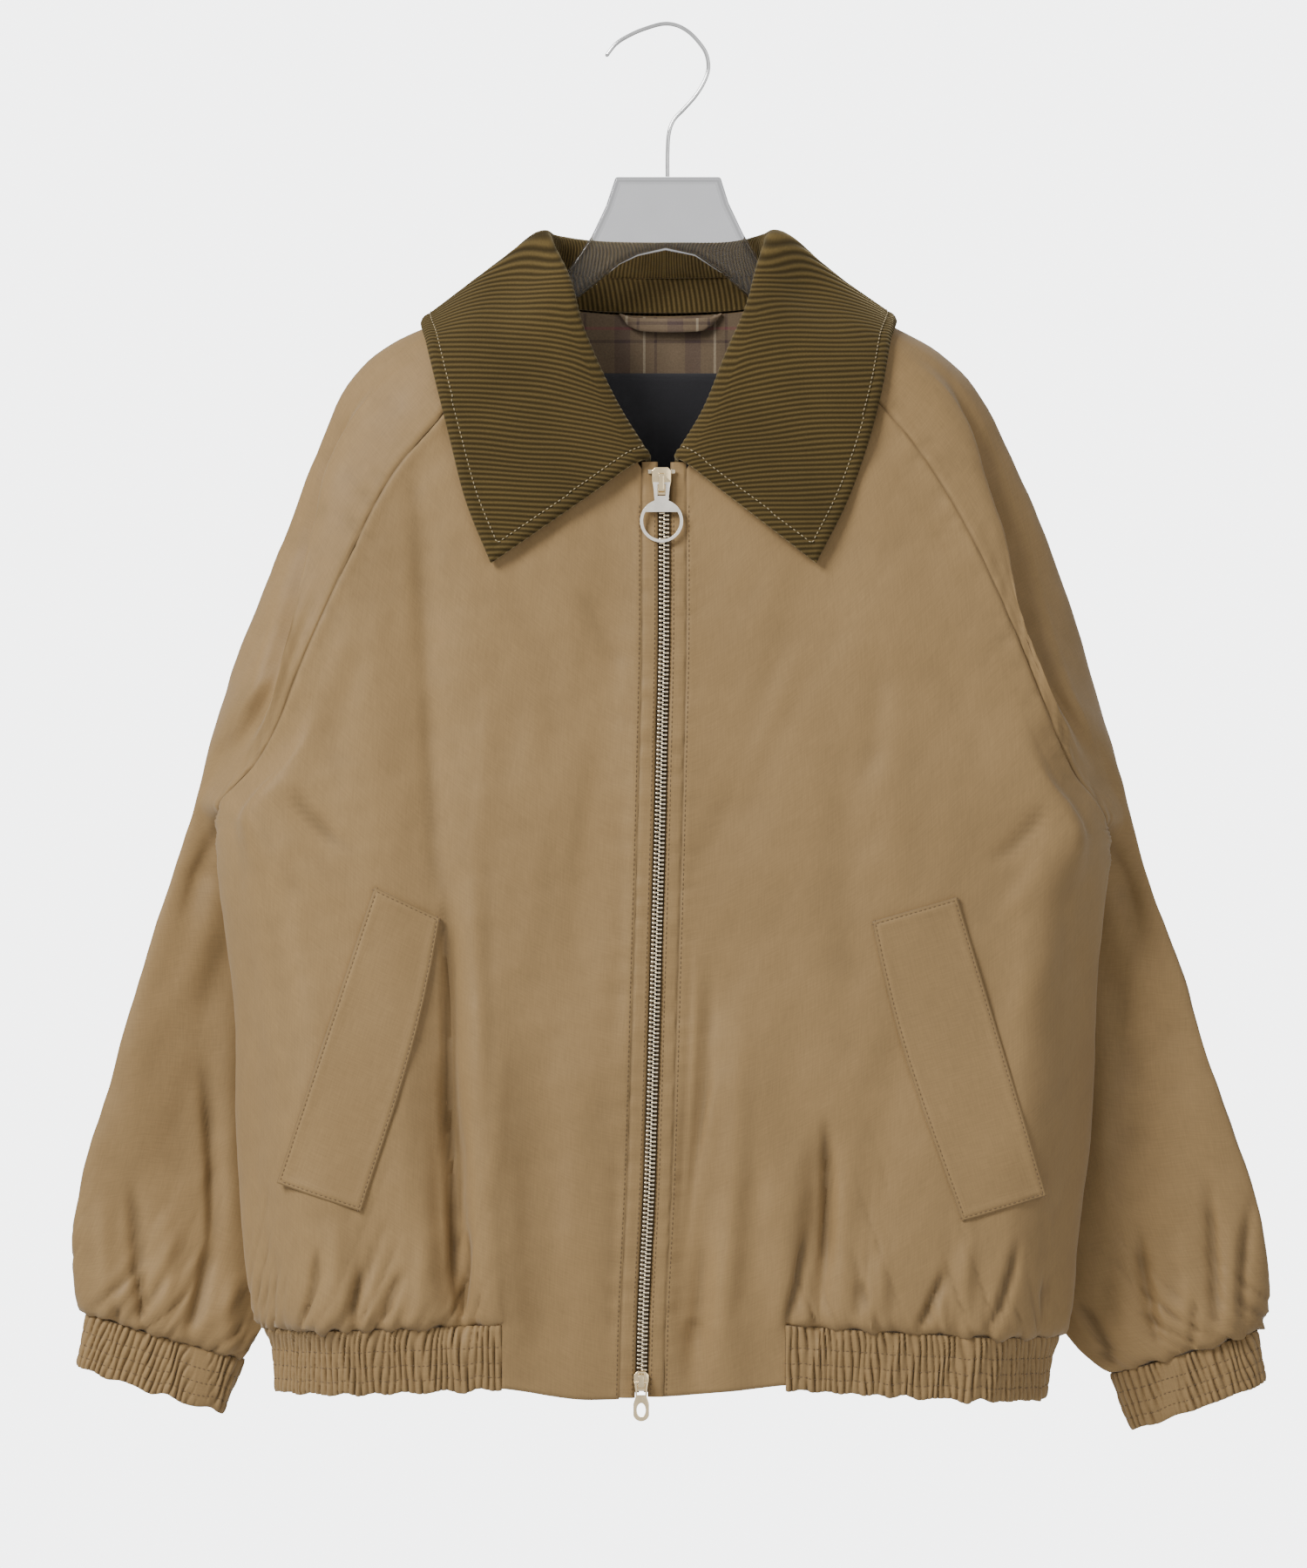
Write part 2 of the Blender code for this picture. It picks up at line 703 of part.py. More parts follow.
def upper_controls(side, t):
    front, back = sleeve_ends(side, t)
    x, drop = along(OUTLINE[side], steps(ARM_AT_OUTLINE, t))
    out = np.array((x, mix(0.0, form(1, 0), ease(0.1, 1, t)), drop))
    flat = [mix(front, out, share) for share in (0.35, 0.62, 0.76, 0.88)]
    for p in flat:
        p[1] = front_y(p[0], p[2])
    deep = ease(0.45, 0.72, t)
    fdrop = front[2] - mix(20.0, 3.0, ease(FOLD_FROM, 0.6, t))
    fx = side * max(abs(steps(swap(FOLD_EDGE[side]), fdrop)), abs(front[0]) + FOLD_OVER)
    fold = np.array((fx, mix(front_y(fx, fdrop), front[1] - 4, deep), fdrop))
    across = (out - fold) / max(np.linalg.norm((out - fold)[[0, 2]]), 1e-6)
    tuck = fold - across * TUCK * (1 - ease(0.5, 0.68, t))
    tuck[1] = fold[1] + FOLD_STEP * 0.75
    layer = mix(fold, out, 0.5)
    layer[1] = fold[1] + FOLD_STEP
    strip = mix(front, fold, 0.5)
    strip[1] = mix(front_y(strip[0], strip[2]), mix(front[1], fold[1], 0.5), deep)
    folded = ease(FOLD_FROM - 0.1, FOLD_FROM + 0.2, t)
    gone = ease(0.6, 0.74, t)
    turned = [
        mix(mix(plain, p, folded), mix(front, out, share), gone)
        for plain, p, share in zip(flat, (strip, fold, tuck, layer), (0.14, 0.28, 0.45, 0.72))
    ]
    behind = []
    for f in (0.15, 0.42, 0.75):
        p = mix(out, back, f)
        swell = form(4, 0) * bulge(f) * ease(0.15, 1, t)
        p[1] = mix(back_y(p[0], p[2]), mix(out[1], back[1], f), ease(0.2, 1, t)) + swell
        behind.append(p)
    return [front] + turned + [out] + behind + [back]


def lower_controls(side, t):
    front = [sleeve_layer(side, t, f, False) for f in (0.97, 0.8, 0.62, 0.5, 0.22, 0.0)]
    back = [sleeve_layer(side, t, f, True) for f in (0.12, 0.4, 0.75, 0.97)]
    if t == 0:
        x, y = side_seam(side, WRAP_END[side])
        front[0] = np.array((x, y + 1.0, WRAP_END[side]))
        back[-1] = np.array((x, y + 12.0, WRAP_END[side] + 1.0))
    return front + back


def through(points, counts):
    """Points on a centripetal curve through the given ones, so many for each stretch."""
    p = np.array(points, float)
    ends = np.vstack([2 * p[0] - p[1], p, 2 * p[-1] - p[-2]])
    out = [p[0]]
    for i, count in enumerate(counts):
        a, b, c, d = ends[i:i + 4]
        t0 = 0.0
        t1 = t0 + max(np.linalg.norm(b - a), 1e-3) ** 0.5
        t2 = t1 + max(np.linalg.norm(c - b), 1e-3) ** 0.5
        t3 = t2 + max(np.linalg.norm(d - c), 1e-3) ** 0.5
        for k in range(1, count + 1):
            t = mix(t1, t2, k / count)
            a1 = (t1 - t) / (t1 - t0) * a + (t - t0) / (t1 - t0) * b
            a2 = (t2 - t) / (t2 - t1) * b + (t - t1) / (t2 - t1) * c
            a3 = (t3 - t) / (t3 - t2) * c + (t - t2) / (t3 - t2) * d
            b1 = (t2 - t) / (t2 - t0) * a1 + (t - t0) / (t2 - t0) * a2
            b2 = (t3 - t) / (t3 - t1) * a2 + (t - t1) / (t3 - t1) * a3
            out.append((t2 - t) / (t2 - t1) * b1 + (t - t1) / (t2 - t1) * b2)
    return np.array(out)


SLEEVE_COUNTS = (1, 1, 2, 2, 3, 2, 2, 2, 3)


def sleeve_grid(side, upper=ARM_ROWS, lower=SLEEVE_LOWER, counts=SLEEVE_COUNTS):
    rows = [through(upper_controls(side, t), counts) for t in np.linspace(0, 1, upper + 1)[:-1]]
    rows += [through(lower_controls(side, t), counts) for t in np.linspace(0, 1, lower + 1)]
    return np.array(rows)


def shell():
    """The fronts, back and sleeves, which share the directions of their seams."""
    back = back_grid()
    back_n = outward(back, True)
    arm = ARM_ROWS
    panels = []
    for side in (LEFT, RIGHT):
        front = front_grid(side)
        front_n = outward(front, side == LEFT)
        arm_grid = sleeve_grid(side)
        arm_n = outward(arm_grid, side == LEFT, closed_from=arm)
        column = 0 if side == LEFT else -1
        share_seam(front_n[:FREE_ROW, -1], arm_n[:FREE_ROW, 0])
        share_seam(back_n[:arm, column], arm_n[:arm, -1])
        share_seam(front_n[arm:, -1], back_n[arm:, column])
        panels.append(front_panel(side, front, front_n))
        name = "sleeve_left" if side == LEFT else "sleeve_right"
        panels.append(panel(name, arm_grid, arm_n, side_rows=arm + 1, closed_from=arm))
    panels.append(panel("back", back, back_n))
    settle(panels)
    for p in panels:
        finish(p["name"], p["verts"], p["faces"], TAN)
    return {p["name"]: p for p in panels}


# ---- collar

COLLAR = (
    # fold x, fold drop, fold y, edge x, edge drop, neck x, neck drop, face (-1 front, 1 back)
    (-12, 270, -48, -106, 335, -13, 277, -1),
    (-29, 239, -44, -121, 298, -33, 246, -1),
    (-45, 206, -38, -131, 260, -50, 220, -1),
    (-57, 178, -31, -139, 228, -63, 201, -1),
    (-65, 150, -20, -146, 200, -76, 179, -1),
    (-74, 128, -4, -149, 184, -84, 167, 0),
    (-70, 129, 10, -132, 190, -77, 171, 1),
    (-50, 132, 24, -92, 206, -55, 176, 1),
    (-20, 134, 31, -38, 215, -20, 178, 1),
    (20, 134, 31, 36, 215, 20, 178, 1),
    (48, 132, 24, 88, 206, 53, 176, 1),
    (65, 129, 10, 127, 188, 74, 171, 1),
    (69, 129, -4, 142, 184, 79, 167, 0),
    (61, 150, -20, 139, 199, 72, 179, -1),
    (53, 178, -31, 134, 226, 60, 201, -1),
    (42, 206, -38, 126, 258, 47, 220, -1),
    (27, 239, -44, 113, 295, 30, 246, -1),
    (9, 270, -48, 93, 335, 12, 277, -1),
)
COLLAR_ROLL = 6.4       # how thick the collar is where it folds over its stand
COLLAR_LIFT = 3.6       # how far the turned-down collar stands off the cloth at its edge
COLLAR_PUFF = 3.0
NECK_IN = 3.4           # how far inside the neck seam the stand's foot is
NECK_UP = 1.6
STAND_SHARE = 0.42      # where the stand meets the fall, as a share of the way down inside


def cloth_y(face, x, drop):
    if face < 0:
        return front_y(x, drop)
    return back_y(x, drop) if face > 0 else 0.0


def unit(v):
    return v / max(np.linalg.norm(v), 1e-9)


def collar_section(row):
    """The fall's controls from its joint with the stand to its edge, and the stand's foot."""
    fold_x, fold_drop, fold_y, edge_x_at, edge_drop, neck_x, neck_drop, face = row
    fold = np.array((fold_x, fold_y, fold_drop), float)
    leaf = []
    for b in (0.05, 0.35, 0.7, 1.0):
        x, drop = mix(fold_x, edge_x_at, b), mix(fold_drop, edge_drop, b)
        lift = COLLAR_LIFT + COLLAR_PUFF * math.sin(math.pi * b)
        lying = cloth_y(face, x, drop) + lift * face
        far = cloth_y(face, edge_x_at, edge_drop) + COLLAR_LIFT * face
        leaf.append(np.array((x, mix(lying, mix(fold_y, far, b), (1 - b) ** 1.2), drop)))
    neck_y = cloth_y(face, neck_x, neck_drop)
    foot = np.array((neck_x, neck_y, neck_drop), float)
    middle = np.array((0.0, 0.0, neck_drop))
    foot += unit(middle - foot) * NECK_IN - np.array((0, 0, NECK_UP))
    down = unit(leaf[-1] - fold)
    into = unit(foot - fold)
    across = unit(np.cross(np.cross(down, into), down))
    if np.dot(across, into) < 0:
        across = -across
    crest = fold + across * COLLAR_ROLL / 2
    inside = fold + across * COLLAR_ROLL + into * 4
    joint = mix(inside, foot, STAND_SHARE)
    return [joint, inside, crest] + leaf, foot


COLLAR_ALONG = (2, 2, 1, 2, 2, 2, 1, 2, 2, 2, 1, 2, 2, 2, 1, 2, 2)
FALL_ACROSS = (2, 2, 2, 2, 2, 2)


def collar_grids(along_counts=COLLAR_ALONG, across=FALL_ACROSS, stand_rows=2):
    sections = [collar_section(row) for row in COLLAR]
    controls = np.array([section[0] for section in sections])
    lines = np.array([through(controls[:, k], along_counts) for k in range(controls.shape[1])])
    fall = np.array([through(lines[:, k], across) for k in range(lines.shape[1])])
    foot = through(np.array([section[1] for section in sections]), along_counts)
    shares = np.linspace(0, 1, stand_rows + 1)[:, None]
    stand = np.array([mix(a[None], b[None], shares) for a, b in zip(fall[:, 0], foot)])
    return fall, stand


def collar():
    fall, stand = collar_grids()
    cloth("collar_fall", fall, CORDUROY, CORD, flip=True, sides="l")
    cloth("collar_stand", stand, CORDUROY, CORD, sides="l")


# ---- inside the neck

LINING_EDGE = 4.0       # how far its edges stay from the back's seams
LINING_IN = 5.0         # how far the lining hangs inside the back
LABEL = (-40.0, 37.0, 214.0, 276.0)
LABEL_WALL = 1.0
LABEL_OFF = 0.4
LOOP = (
    # x, drop, how far it stands off the lining
    (-28, 180, -1.6), (-19, 187, 0.7), (4, 189, 1.4), (28, 187, 0.9), (36, 180, -1.3),
)
LOOP_WIDE = 6.0
LOOP_WALL = 1.6


def inside_back(x, drop, depth):
    return np.array((x, back_y(x, drop) - depth, drop))


def neck_pieces():
    grid = back_grid()[::2]
    cols = grid.shape[1]
    low = np.array(back_row(BAND_END_AT[LEFT][1] - 5, BAND_END_AT[RIGHT][1] - 5, HEM_ARCH, cols))
    whole = np.concatenate([grid, mix(grid[-1], low, 0.5)[None], low[None]])
    n = outward(whole, True)
    n[-2:] = n[-3]
    deep = np.full((len(whole), 1, 1), LINING_IN)
    deep[:2, 0, 0] = SHELL + SEAM_GAP, mix(SHELL, LINING_IN, 0.7)
    whole = draw_in(whole - n * deep, LINING_EDGE, "tlr")
    cloth("lining_back", whole, LINING, LINED, flip=True, sides="")
    x0, x1, top, low = LABEL
    depth = LINING_IN + LINING + LABEL_OFF
    rows = [
        [inside_back(x, drop, depth) for x in np.linspace(x0, x1, 7)]
        for drop in np.linspace(top, low, 5)
    ]
    cloth("neck_label", np.array(rows), LABEL_WALL, LABELLED, flip=True, sides="")
    middle = path([inside_back(x, drop, depth + off) for x, drop, off in LOOP], ((4, 10, 1.0),))
    half = np.array((0, 0, LOOP_WIDE / 2))
    strap = np.array([[p - half, p, p + half] for p in middle])
    cloth("hanging_loop", strap.transpose(1, 0, 2), LOOP_WALL, CORD, flip=True, sides="")


# ---- zip

TAPE_IN = 3.5
TAPE_OUT = 16.0
TAPE_WALL = 0.8
CHAIN_HALF = 3.2
CHAIN_PROUD = 0.8
CHAIN_BACK = 2.2
CHAIN_TOP = 283.0
CHAIN_LOW = 838.0
ZIP_ROWS = 24


def zip_band(name, side, near, far, depth, thickness, look, top, low, cols):
    """A band beside the zip between two distances from it, so deep behind the front's face."""
    rows = []
    for t in np.linspace(0, 1, ZIP_ROWS):
        row = []
        for away in np.linspace(near, far, cols):
            x = zip_x(top) + side * away
            drop = mix(top, centre_hem(x) - low, t)
            x = zip_x(drop) + side * away
            row.append((x, front_y(x, drop) + depth, drop))
        rows.append(row)
    flip = side == LEFT
    cloth(name, np.array(rows), thickness, look, flip=flip, sides="r" if look is TAN else "")


def chain():
    """The closed teeth as one ribbed bar: their run is plain here."""
    outline = ((-1, -CHAIN_PROUD), (1, -CHAIN_PROUD), (1, CHAIN_BACK), (-1, CHAIN_BACK))
    verts, faces = [], []
    drops = np.linspace(CHAIN_TOP, CHAIN_LOW, ZIP_ROWS)
    for drop in drops:
        for edge, depth in outline:
            x = zip_x(drop)
            verts.append((x + edge * CHAIN_HALF, front_y(x, drop) + depth, drop))
    for i in range(len(drops) - 1):
        for k in range(4):
            a, b = i * 4, (i + 1) * 4
            faces.append((a + k, a + (k + 1) % 4, b + (k + 1) % 4, b + k))
    faces += [(0, 1, 2, 3), tuple(range(len(verts) - 4, len(verts)))]
    finish("zip_chain", verts, faces, STEEL, smooth=False)


PLATE = 1.6             # a slider's plate
PLATE_OFF = 1.2         # its back face in front of the cloth's face
BRIDGE_HIGH = 4.0
BRIDGE_BAR = 1.2
BRIDGE_WIDE = 3.4
PULL_HALF = 0.7         # half a pull's thickness
PIN_UP = 1.5            # a pull's axis above the slider's plate
SLIDER = {
    # centre x, top drop, half width, height, bridge from and to, axis drop
    "top": (-1.6, 276.0, 5.9, 17.0, 279.5, 291.5, 286.0),
    "bottom": (-14.0, 829.0, 4.6, 12.0, 830.0, 839.5, 835.6),
}
STOPS = (
    # name, x, drop
    ("zip_stop_left", -8.6, 278.6), ("zip_stop_right", 5.4, 278.6),
)
STOP_HALF = 1.3


def slider_face(which):
    x, top = SLIDER[which][:2]
    return min(front_y(x, top), front_y(x, top + SLIDER[which][3])) - PLATE_OFF


def slider(which):
    x, top, half, height, start, end, _ = SLIDER[which]
    back = slider_face(which)
    outline = (
        (x - half, top + 2), (x - half + 2, top), (x + half - 2, top), (x + half, top + 2),
        (x + half, top + height * 0.5), (x + half * 0.72, top + height),
        (x - half * 0.72, top + height), (x - half, top + height * 0.5),
    )
    base = plate(which + "_base", outline, back - PLATE, back, BRASS)
    face = back - PLATE + 0.2
    peak = back - PLATE - BRIDGE_HIGH
    side_view = (
        (face, start), (peak + 1, start + 0.6), (peak, start + 1.8), (peak, end - 1.8),
        (peak + 1, end - 0.6), (face, end), (face, end - BRIDGE_BAR),
        (peak + BRIDGE_BAR, end - 2 * BRIDGE_BAR), (peak + BRIDGE_BAR, start + 2 * BRIDGE_BAR),
        (face, start + BRIDGE_BAR),
    )
    count = len(side_view)
    wide = BRIDGE_WIDE / 2
    verts = [(x + edge * wide, y, drop) for edge in (-1, 1) for y, drop in side_view]
    faces = [tuple(range(count)), tuple(range(count, 2 * count))]
    faces += [(k, (k + 1) % count, count + (k + 1) % count, count + k) for k in range(count)]
    bridge = finish(which + "_bridge", verts, faces, BRASS, smooth=False)
    united(which + "_slider", (base, bridge))


def arc(x, drop, radius, start, end, count):
    """Points round a circle, its angles in degrees from straight down towards the right."""
    turns = np.radians(np.linspace(start, end, count))
    return [(x + radius * math.sin(a), drop + radius * math.cos(a)) for a in turns]


RING = (309.0, 13.2, 11.3)      # centre drop, outer and inner radius
RING_FILL = 303.5               # the plate's lower edge inside the ring
FORK_HALF = 5.2
WINDOW_HALF = 2.5
PIN_HALF = 0.7


def pull(which):
    """A pull hung under the slider's bridge: its pin, its fork and its grip in one plate."""
    x, axis = SLIDER[which][0], SLIDER[which][6]
    centre = slider_face(which) - PLATE - PIN_UP
    window = [
        (x - WINDOW_HALF, axis + PIN_HALF), (x + WINDOW_HALF, axis + PIN_HALF),
        (x + WINDOW_HALF, axis + 7.6), (x - WINDOW_HALF, axis + 7.6),
    ]
    if which == "top":
        drop, outer, inner = RING
        from_top = math.degrees(math.acos((drop - axis - 10.5) / outer))
        body = arc(x, drop, outer, -180 + from_top, 180 - from_top, 33)
        grip_from = math.degrees(math.acos((RING_FILL - drop) / inner))
        holes = [window, arc(x, drop, inner, -grip_from, grip_from, 25)]
    else:
        body = [
            (x - 3.4, axis + 8.5), (x - 4.8, axis + 13), *arc(x, 854.2, 5.0, -75, 75, 11),
            (x + 4.8, axis + 13), (x + 3.4, axis + 8.5),
        ]
        holes = [window]
    half = FORK_HALF if which == "top" else 4.2
    outline = [(x + half, axis - PIN_HALF), (x - half, axis - PIN_HALF), *body]
    look = STEEL if which == "top" else BRASS
    plate(which + "_pull", outline, centre - PULL_HALF, centre + PULL_HALF, look, holes)


def zip_pieces():
    for side, word in ((LEFT, "left"), (RIGHT, "right")):
        zip_band("zip_strip_" + word, side, STRIP_IN, STRIP_OUT, 0.0, SHELL, TAN, ZIP_TOP, 0, 3)
        depth = SHELL + LAY_GAP + 0.2
        zip_band("zip_tape_" + word, side, TAPE_IN, TAPE_OUT, depth, TAPE_WALL, TAPE, ZIP_TOP + 2,
                 3, 2)
    chain()
    for name, x, drop in STOPS:
        back = front_y(x, drop) - LAY_GAP
        h = STOP_HALF
        outline = ((x - h, drop - h), (x + h, drop - h), (x + h, drop + h), (x - h, drop + h))
        plate(name, outline, back - PLATE, back, STEEL)
    for which in ("top", "bottom"):
        slider(which)
        pull(which)


# ---- pockets, hem band and cuffs

WELT_WALL = 2.0
WELT_OFF = 1.0
WELT = {
    # (x, drop) corners: top outer, top inner, low inner, low outer
    LEFT: ((-177, 533), (-137, 552), (-185, 731), (-237, 714)),
    RIGHT: ((179, 539), (127, 554), (182, 737), (234, 722)),
}
WELT_BOW = 6.0          # how far the welt's inner side bows towards the zip


def face_of(p):
    """How far forward a front's wall stands at a place."""
    tree = BVHTree.FromPolygons(p["verts"].tolist(), p["faces"])

    def at(x, drop):
        around = [(x + a, -200.0, drop + b) for a in (-8, 0, 8) for b in (-12, 0, 12)]
        hits = [tree.ray_cast(start, (0.0, 1.0, 0.0))[0] for start in around]
        return min(hit[1] for hit in hits if hit is not None)

    return at


def welt(side, at):
    top_out, top_in, low_in, low_out = (np.array(c, float) for c in WELT[side])
    rows = []
    for t in np.linspace(0, 1, 9):
        row = []
        for f in np.linspace(0, 1, 5):
            x, drop = mix(mix(top_out, low_out, t), mix(top_in, low_in, t), f)
            x -= side * WELT_BOW * f * math.sin(math.pi * t) * (1 - 0.5 * t)
            row.append((x, at(x, drop) - WELT_WALL - WELT_OFF, drop))
        rows.append(row)
    name = "pocket_welt_left" if side == LEFT else "pocket_welt_right"
    cloth(name, np.array(rows), WELT_WALL, TAN, flip=side == RIGHT, sides="")


HEM_ARCH = -6.0         # how much the hem rises across the back
BAND_ROWS = 3
BAND_DROP = 0.5         # how much lower than the panels the bands start


def waves(rows, cols, closed=False):
    """How far the outer points of a gathered band stand proud: one column up, one down."""
    height = np.zeros((rows, cols, 1))
    height[:, 0 if closed else 1::2] = GATHER
    return height


def gathered(length):
    return 2 * round(length / HEM_WAVE) + 1


def hem_bands():
    for side, word in ((LEFT, "left"), (RIGHT, "right")):
        start = BAND_START[side] + side * 0.4
        rows = []
        for t in np.linspace(0, 1, BAND_ROWS):
            at_zip = mix(BAND_TOP_AT[side][0] + BAND_DROP, BAND_END_AT[side][0], t)
            seam = mix(BAND_TOP_AT[side][1] + BAND_DROP, BAND_END_AT[side][1], t)
            length = abs(edge_x(side, seam) - start) + WRAP + 10
            if t == 0:
                cols = gathered(length)
                turned = 2 * round(0.42 * (cols - 1) / 2)
            rows.append(front_row(side, start, seam, at_zip - seam, cols, 1.0, turned))
        grid = np.array(rows)
        cloth("hem_band_" + word, grid, BAND_WALL, TAN, flip=side == LEFT, sides="tlr",
              raised=waves(BAND_ROWS, cols))
    left, right = side_seam(LEFT, BAND_TOP_AT[LEFT][1])[0], side_seam(RIGHT, BAND_TOP_AT[RIGHT][1])[0]
    cols = gathered(right - left)
    ends = [(BAND_TOP_AT[s][1] + BAND_DROP, BAND_END_AT[s][1]) for s in (LEFT, RIGHT)]
    grid = np.array([
        back_row(mix(*ends[0], t), mix(*ends[1], t), HEM_ARCH, cols)
        for t in np.linspace(0, 1, BAND_ROWS)
    ])
    cloth("hem_band_back", grid, BAND_WALL, TAN, flip=True, sides="tlr",
          raised=waves(BAND_ROWS, cols))


CUFF_END = {
    # outer and inner (x, drop) of a cuff's open end
    LEFT: ((-366, 833), (-276, 862)),
    RIGHT: ((375, 843), (292, 873)),
}
CUFF_HALF = 15.0
CUFF_FLARE = 1.0


def cuff_ring(side, t, count):
    """One ring of a cuff, the sleeve's last ring at t = 0 and the open end at t = 1."""
    top = (along(OUTLINE[side], 1.0), along(SLEEVE_INNER[side], 1.0))
    outer, inner = (mix(a, np.array(b, float), t) for a, b in zip(top, CUFF_END[side]))
    ring = []
    for turn in np.linspace(0, 2 * math.pi, 241):
        f = 0.5 + 0.5 * math.cos(turn)
        x, drop = mix(outer, inner, f)
        half = (CUFF_HALF + CUFF_FLARE * t) * bulge(f)
        y = mix(form(1, 1), form(2, 1), f) - math.copysign(half, math.sin(turn))
        ring.append((x, y, drop))
    ring = np.array(ring)
    length = np.concatenate([[0], np.cumsum(np.linalg.norm(np.diff(ring, axis=0), axis=1))])
    wanted = np.linspace(0, length[-1], count, endpoint=False)
    return np.stack([np.interp(wanted, length, ring[:, k]) for k in range(3)], axis=1)


def cuffs():
    for side, word in ((LEFT, "left"), (RIGHT, "right")):
        cols = 2 * CUFF_WAVES
        grid = np.array([cuff_ring(side, t, cols) for t in np.linspace(0, 1, BAND_ROWS)])
        cloth("cuff_" + word, grid, BAND_WALL, TAN, flip=side == LEFT, sides="t", closed_from=0,
              raised=waves(BAND_ROWS, cols, closed=True))


# ---- hanger

HOOK = (
    # x, drop along the wire's middle
    (-36, 19), (-29.5, 11), (-20, 5.2), (-10, 1.2), (0, -1.25), (8, -0.2), (15, 3.6), (21, 9.5),
    (26, 17), (27.5, 26), (25, 34.5), (19.5, 43.5), (12, 52), (6, 58.5), (3, 67), (2.2, 80),
    (2.2, 93.5),
)
HOOK_WIRE = 1.25
HANGER_HALF = 4.0
HANGER = {
    # (x, drop) from the top of the body, over the arm and back to under the middle
    LEFT: (
        (-30, 94), (-36, 112), (-45, 131), (-61, 154), (-66, 164), (-72, 171.5), (-80, 173),
        (-98, 174.8), (-110, 178.4), (-122, 182), (-134, 187), (-146, 192.5), (-158, 198),
        (-166, 202), (-171, 207), (-173, 213), (-168, 219), (-156, 218), (-140, 213),
        (-105, 201), (-75, 187), (-55, 171), (-28, 148), (-16, 142.5),
    ),
    RIGHT: (
        (35, 94), (40, 110), (49, 129), (59, 146), (63, 160), (68, 171), (76, 172.6),
        (92, 174.6), (104, 178.4), (116, 182), (128, 187), (140, 192.5), (152, 198.2),
        (160, 202.5), (164, 207), (166, 213), (162, 219), (150, 218), (136, 213),
        (101, 201), (75, 187), (55, 171), (37, 154), (19, 142.5),
    ),
}


def hanger():
    outline = [*HANGER[LEFT], (1, 139), *reversed(HANGER[RIGHT])]
    plate("hanger_body", outline, -HANGER_HALF, HANGER_HALF, CLEAR)
    points = path([(x, 0.0, drop) for x, drop in HOOK], ((len(HOOK) - 1, 32, 1.0),))
    tube("hanger_hook", points, HOOK_WIRE, 8, STEEL)


def main():
    for obj in list(bpy.data.objects):
        bpy.data.objects.remove(obj)
    panels = shell()
    for side, name in ((LEFT, "front_left"), (RIGHT, "front_right")):
        welt(side, face_of(panels[name]))
    collar()
    neck_pieces()
    zip_pieces()
    hem_bands()
    cuffs()
    hanger()


if __name__ == "__main__":
    main()
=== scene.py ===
"""The finished look of a padded raglan jacket with a corduroy collar, on a clear hanger.

Lengths are in millimetres until a mesh is made. x runs to the viewer's right, y to the back of the
garment and drop straight down from the inside crown of the hanger's hook, which is the origin.
"""

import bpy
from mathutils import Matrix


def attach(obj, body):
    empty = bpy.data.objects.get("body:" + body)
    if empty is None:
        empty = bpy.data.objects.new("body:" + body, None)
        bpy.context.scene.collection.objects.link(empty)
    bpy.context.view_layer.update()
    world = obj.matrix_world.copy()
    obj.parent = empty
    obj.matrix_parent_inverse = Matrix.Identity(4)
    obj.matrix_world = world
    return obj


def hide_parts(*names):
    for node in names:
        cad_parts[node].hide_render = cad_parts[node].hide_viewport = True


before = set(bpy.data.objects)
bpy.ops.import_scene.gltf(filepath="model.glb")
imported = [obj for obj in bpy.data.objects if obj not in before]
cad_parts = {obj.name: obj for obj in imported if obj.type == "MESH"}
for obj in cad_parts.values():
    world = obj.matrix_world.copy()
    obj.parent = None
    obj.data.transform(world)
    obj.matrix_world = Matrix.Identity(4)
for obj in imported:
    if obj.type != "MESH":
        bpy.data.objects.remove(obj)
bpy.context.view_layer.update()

import math

import bmesh
import bpy
import numpy as np
from mathutils import Matrix, Vector
from mathutils.bvhtree import BVHTree
from numpy.linalg import norm

bl_info = {
    "name": "Padded raglan jacket",
    "version": (1, 0, 0),
    "blender": (4, 5, 0),
    "location": "View3D > Sidebar > Jacket",
    "description": "Builds a padded jacket with a corduroy collar, hung on a clear hanger",
    "category": "Add Mesh",
}

MM = 0.001

# Cloth and seams
SHELL = 2.4             # padded shell wall
LINING = 1.2
CORDUROY = 2.6
BAND_WALL = 2.6         # gathered hem band and cuffs
LAY_GAP = 0.5           # between a piece and the cloth it lies on

# Driving levels
NECK_DROP = 166.0       # the shoulder line where it meets the neck
ZIP_TOP = 277.0

# How far the fronts and the back stand out from the plane of the hanger
DEPTH = (
    # drop, front, back
    (120, 14, 18), (166, 24, 24), (200, 35, 29), (280, 45, 33), (400, 53, 35), (520, 57, 34),
    (700, 61, 35), (790, 58, 34), (860, 52, 31),
)
PILLOW = 50.0           # how far in from the outline the cloth reaches its full depth
NECK_DOME = 40.0        # the shoulder line carried on over the neck opening
LEFT, RIGHT = -1, 1     # the viewer's left and right

# The shoulder and the outer edge of each sleeve as seen from the front
OUTLINE = {
    LEFT: (
        # x, drop
        (-84, 166), (-149, 187), (-176, 202), (-195, 221), (-212, 258), (-238, 322), (-267, 399),
        (-288, 467), (-310, 540), (-342, 646), (-362, 718), (-367, 754), (-365, 778), (-360, 800),
    ),
    RIGHT: (
        (79, 166), (143, 187), (167, 200), (186, 217), (204, 244), (228, 296), (252, 362),
        (276, 440), (293, 502), (323, 592), (352, 681), (370, 735), (375, 778), (370, 811),
    ),
}

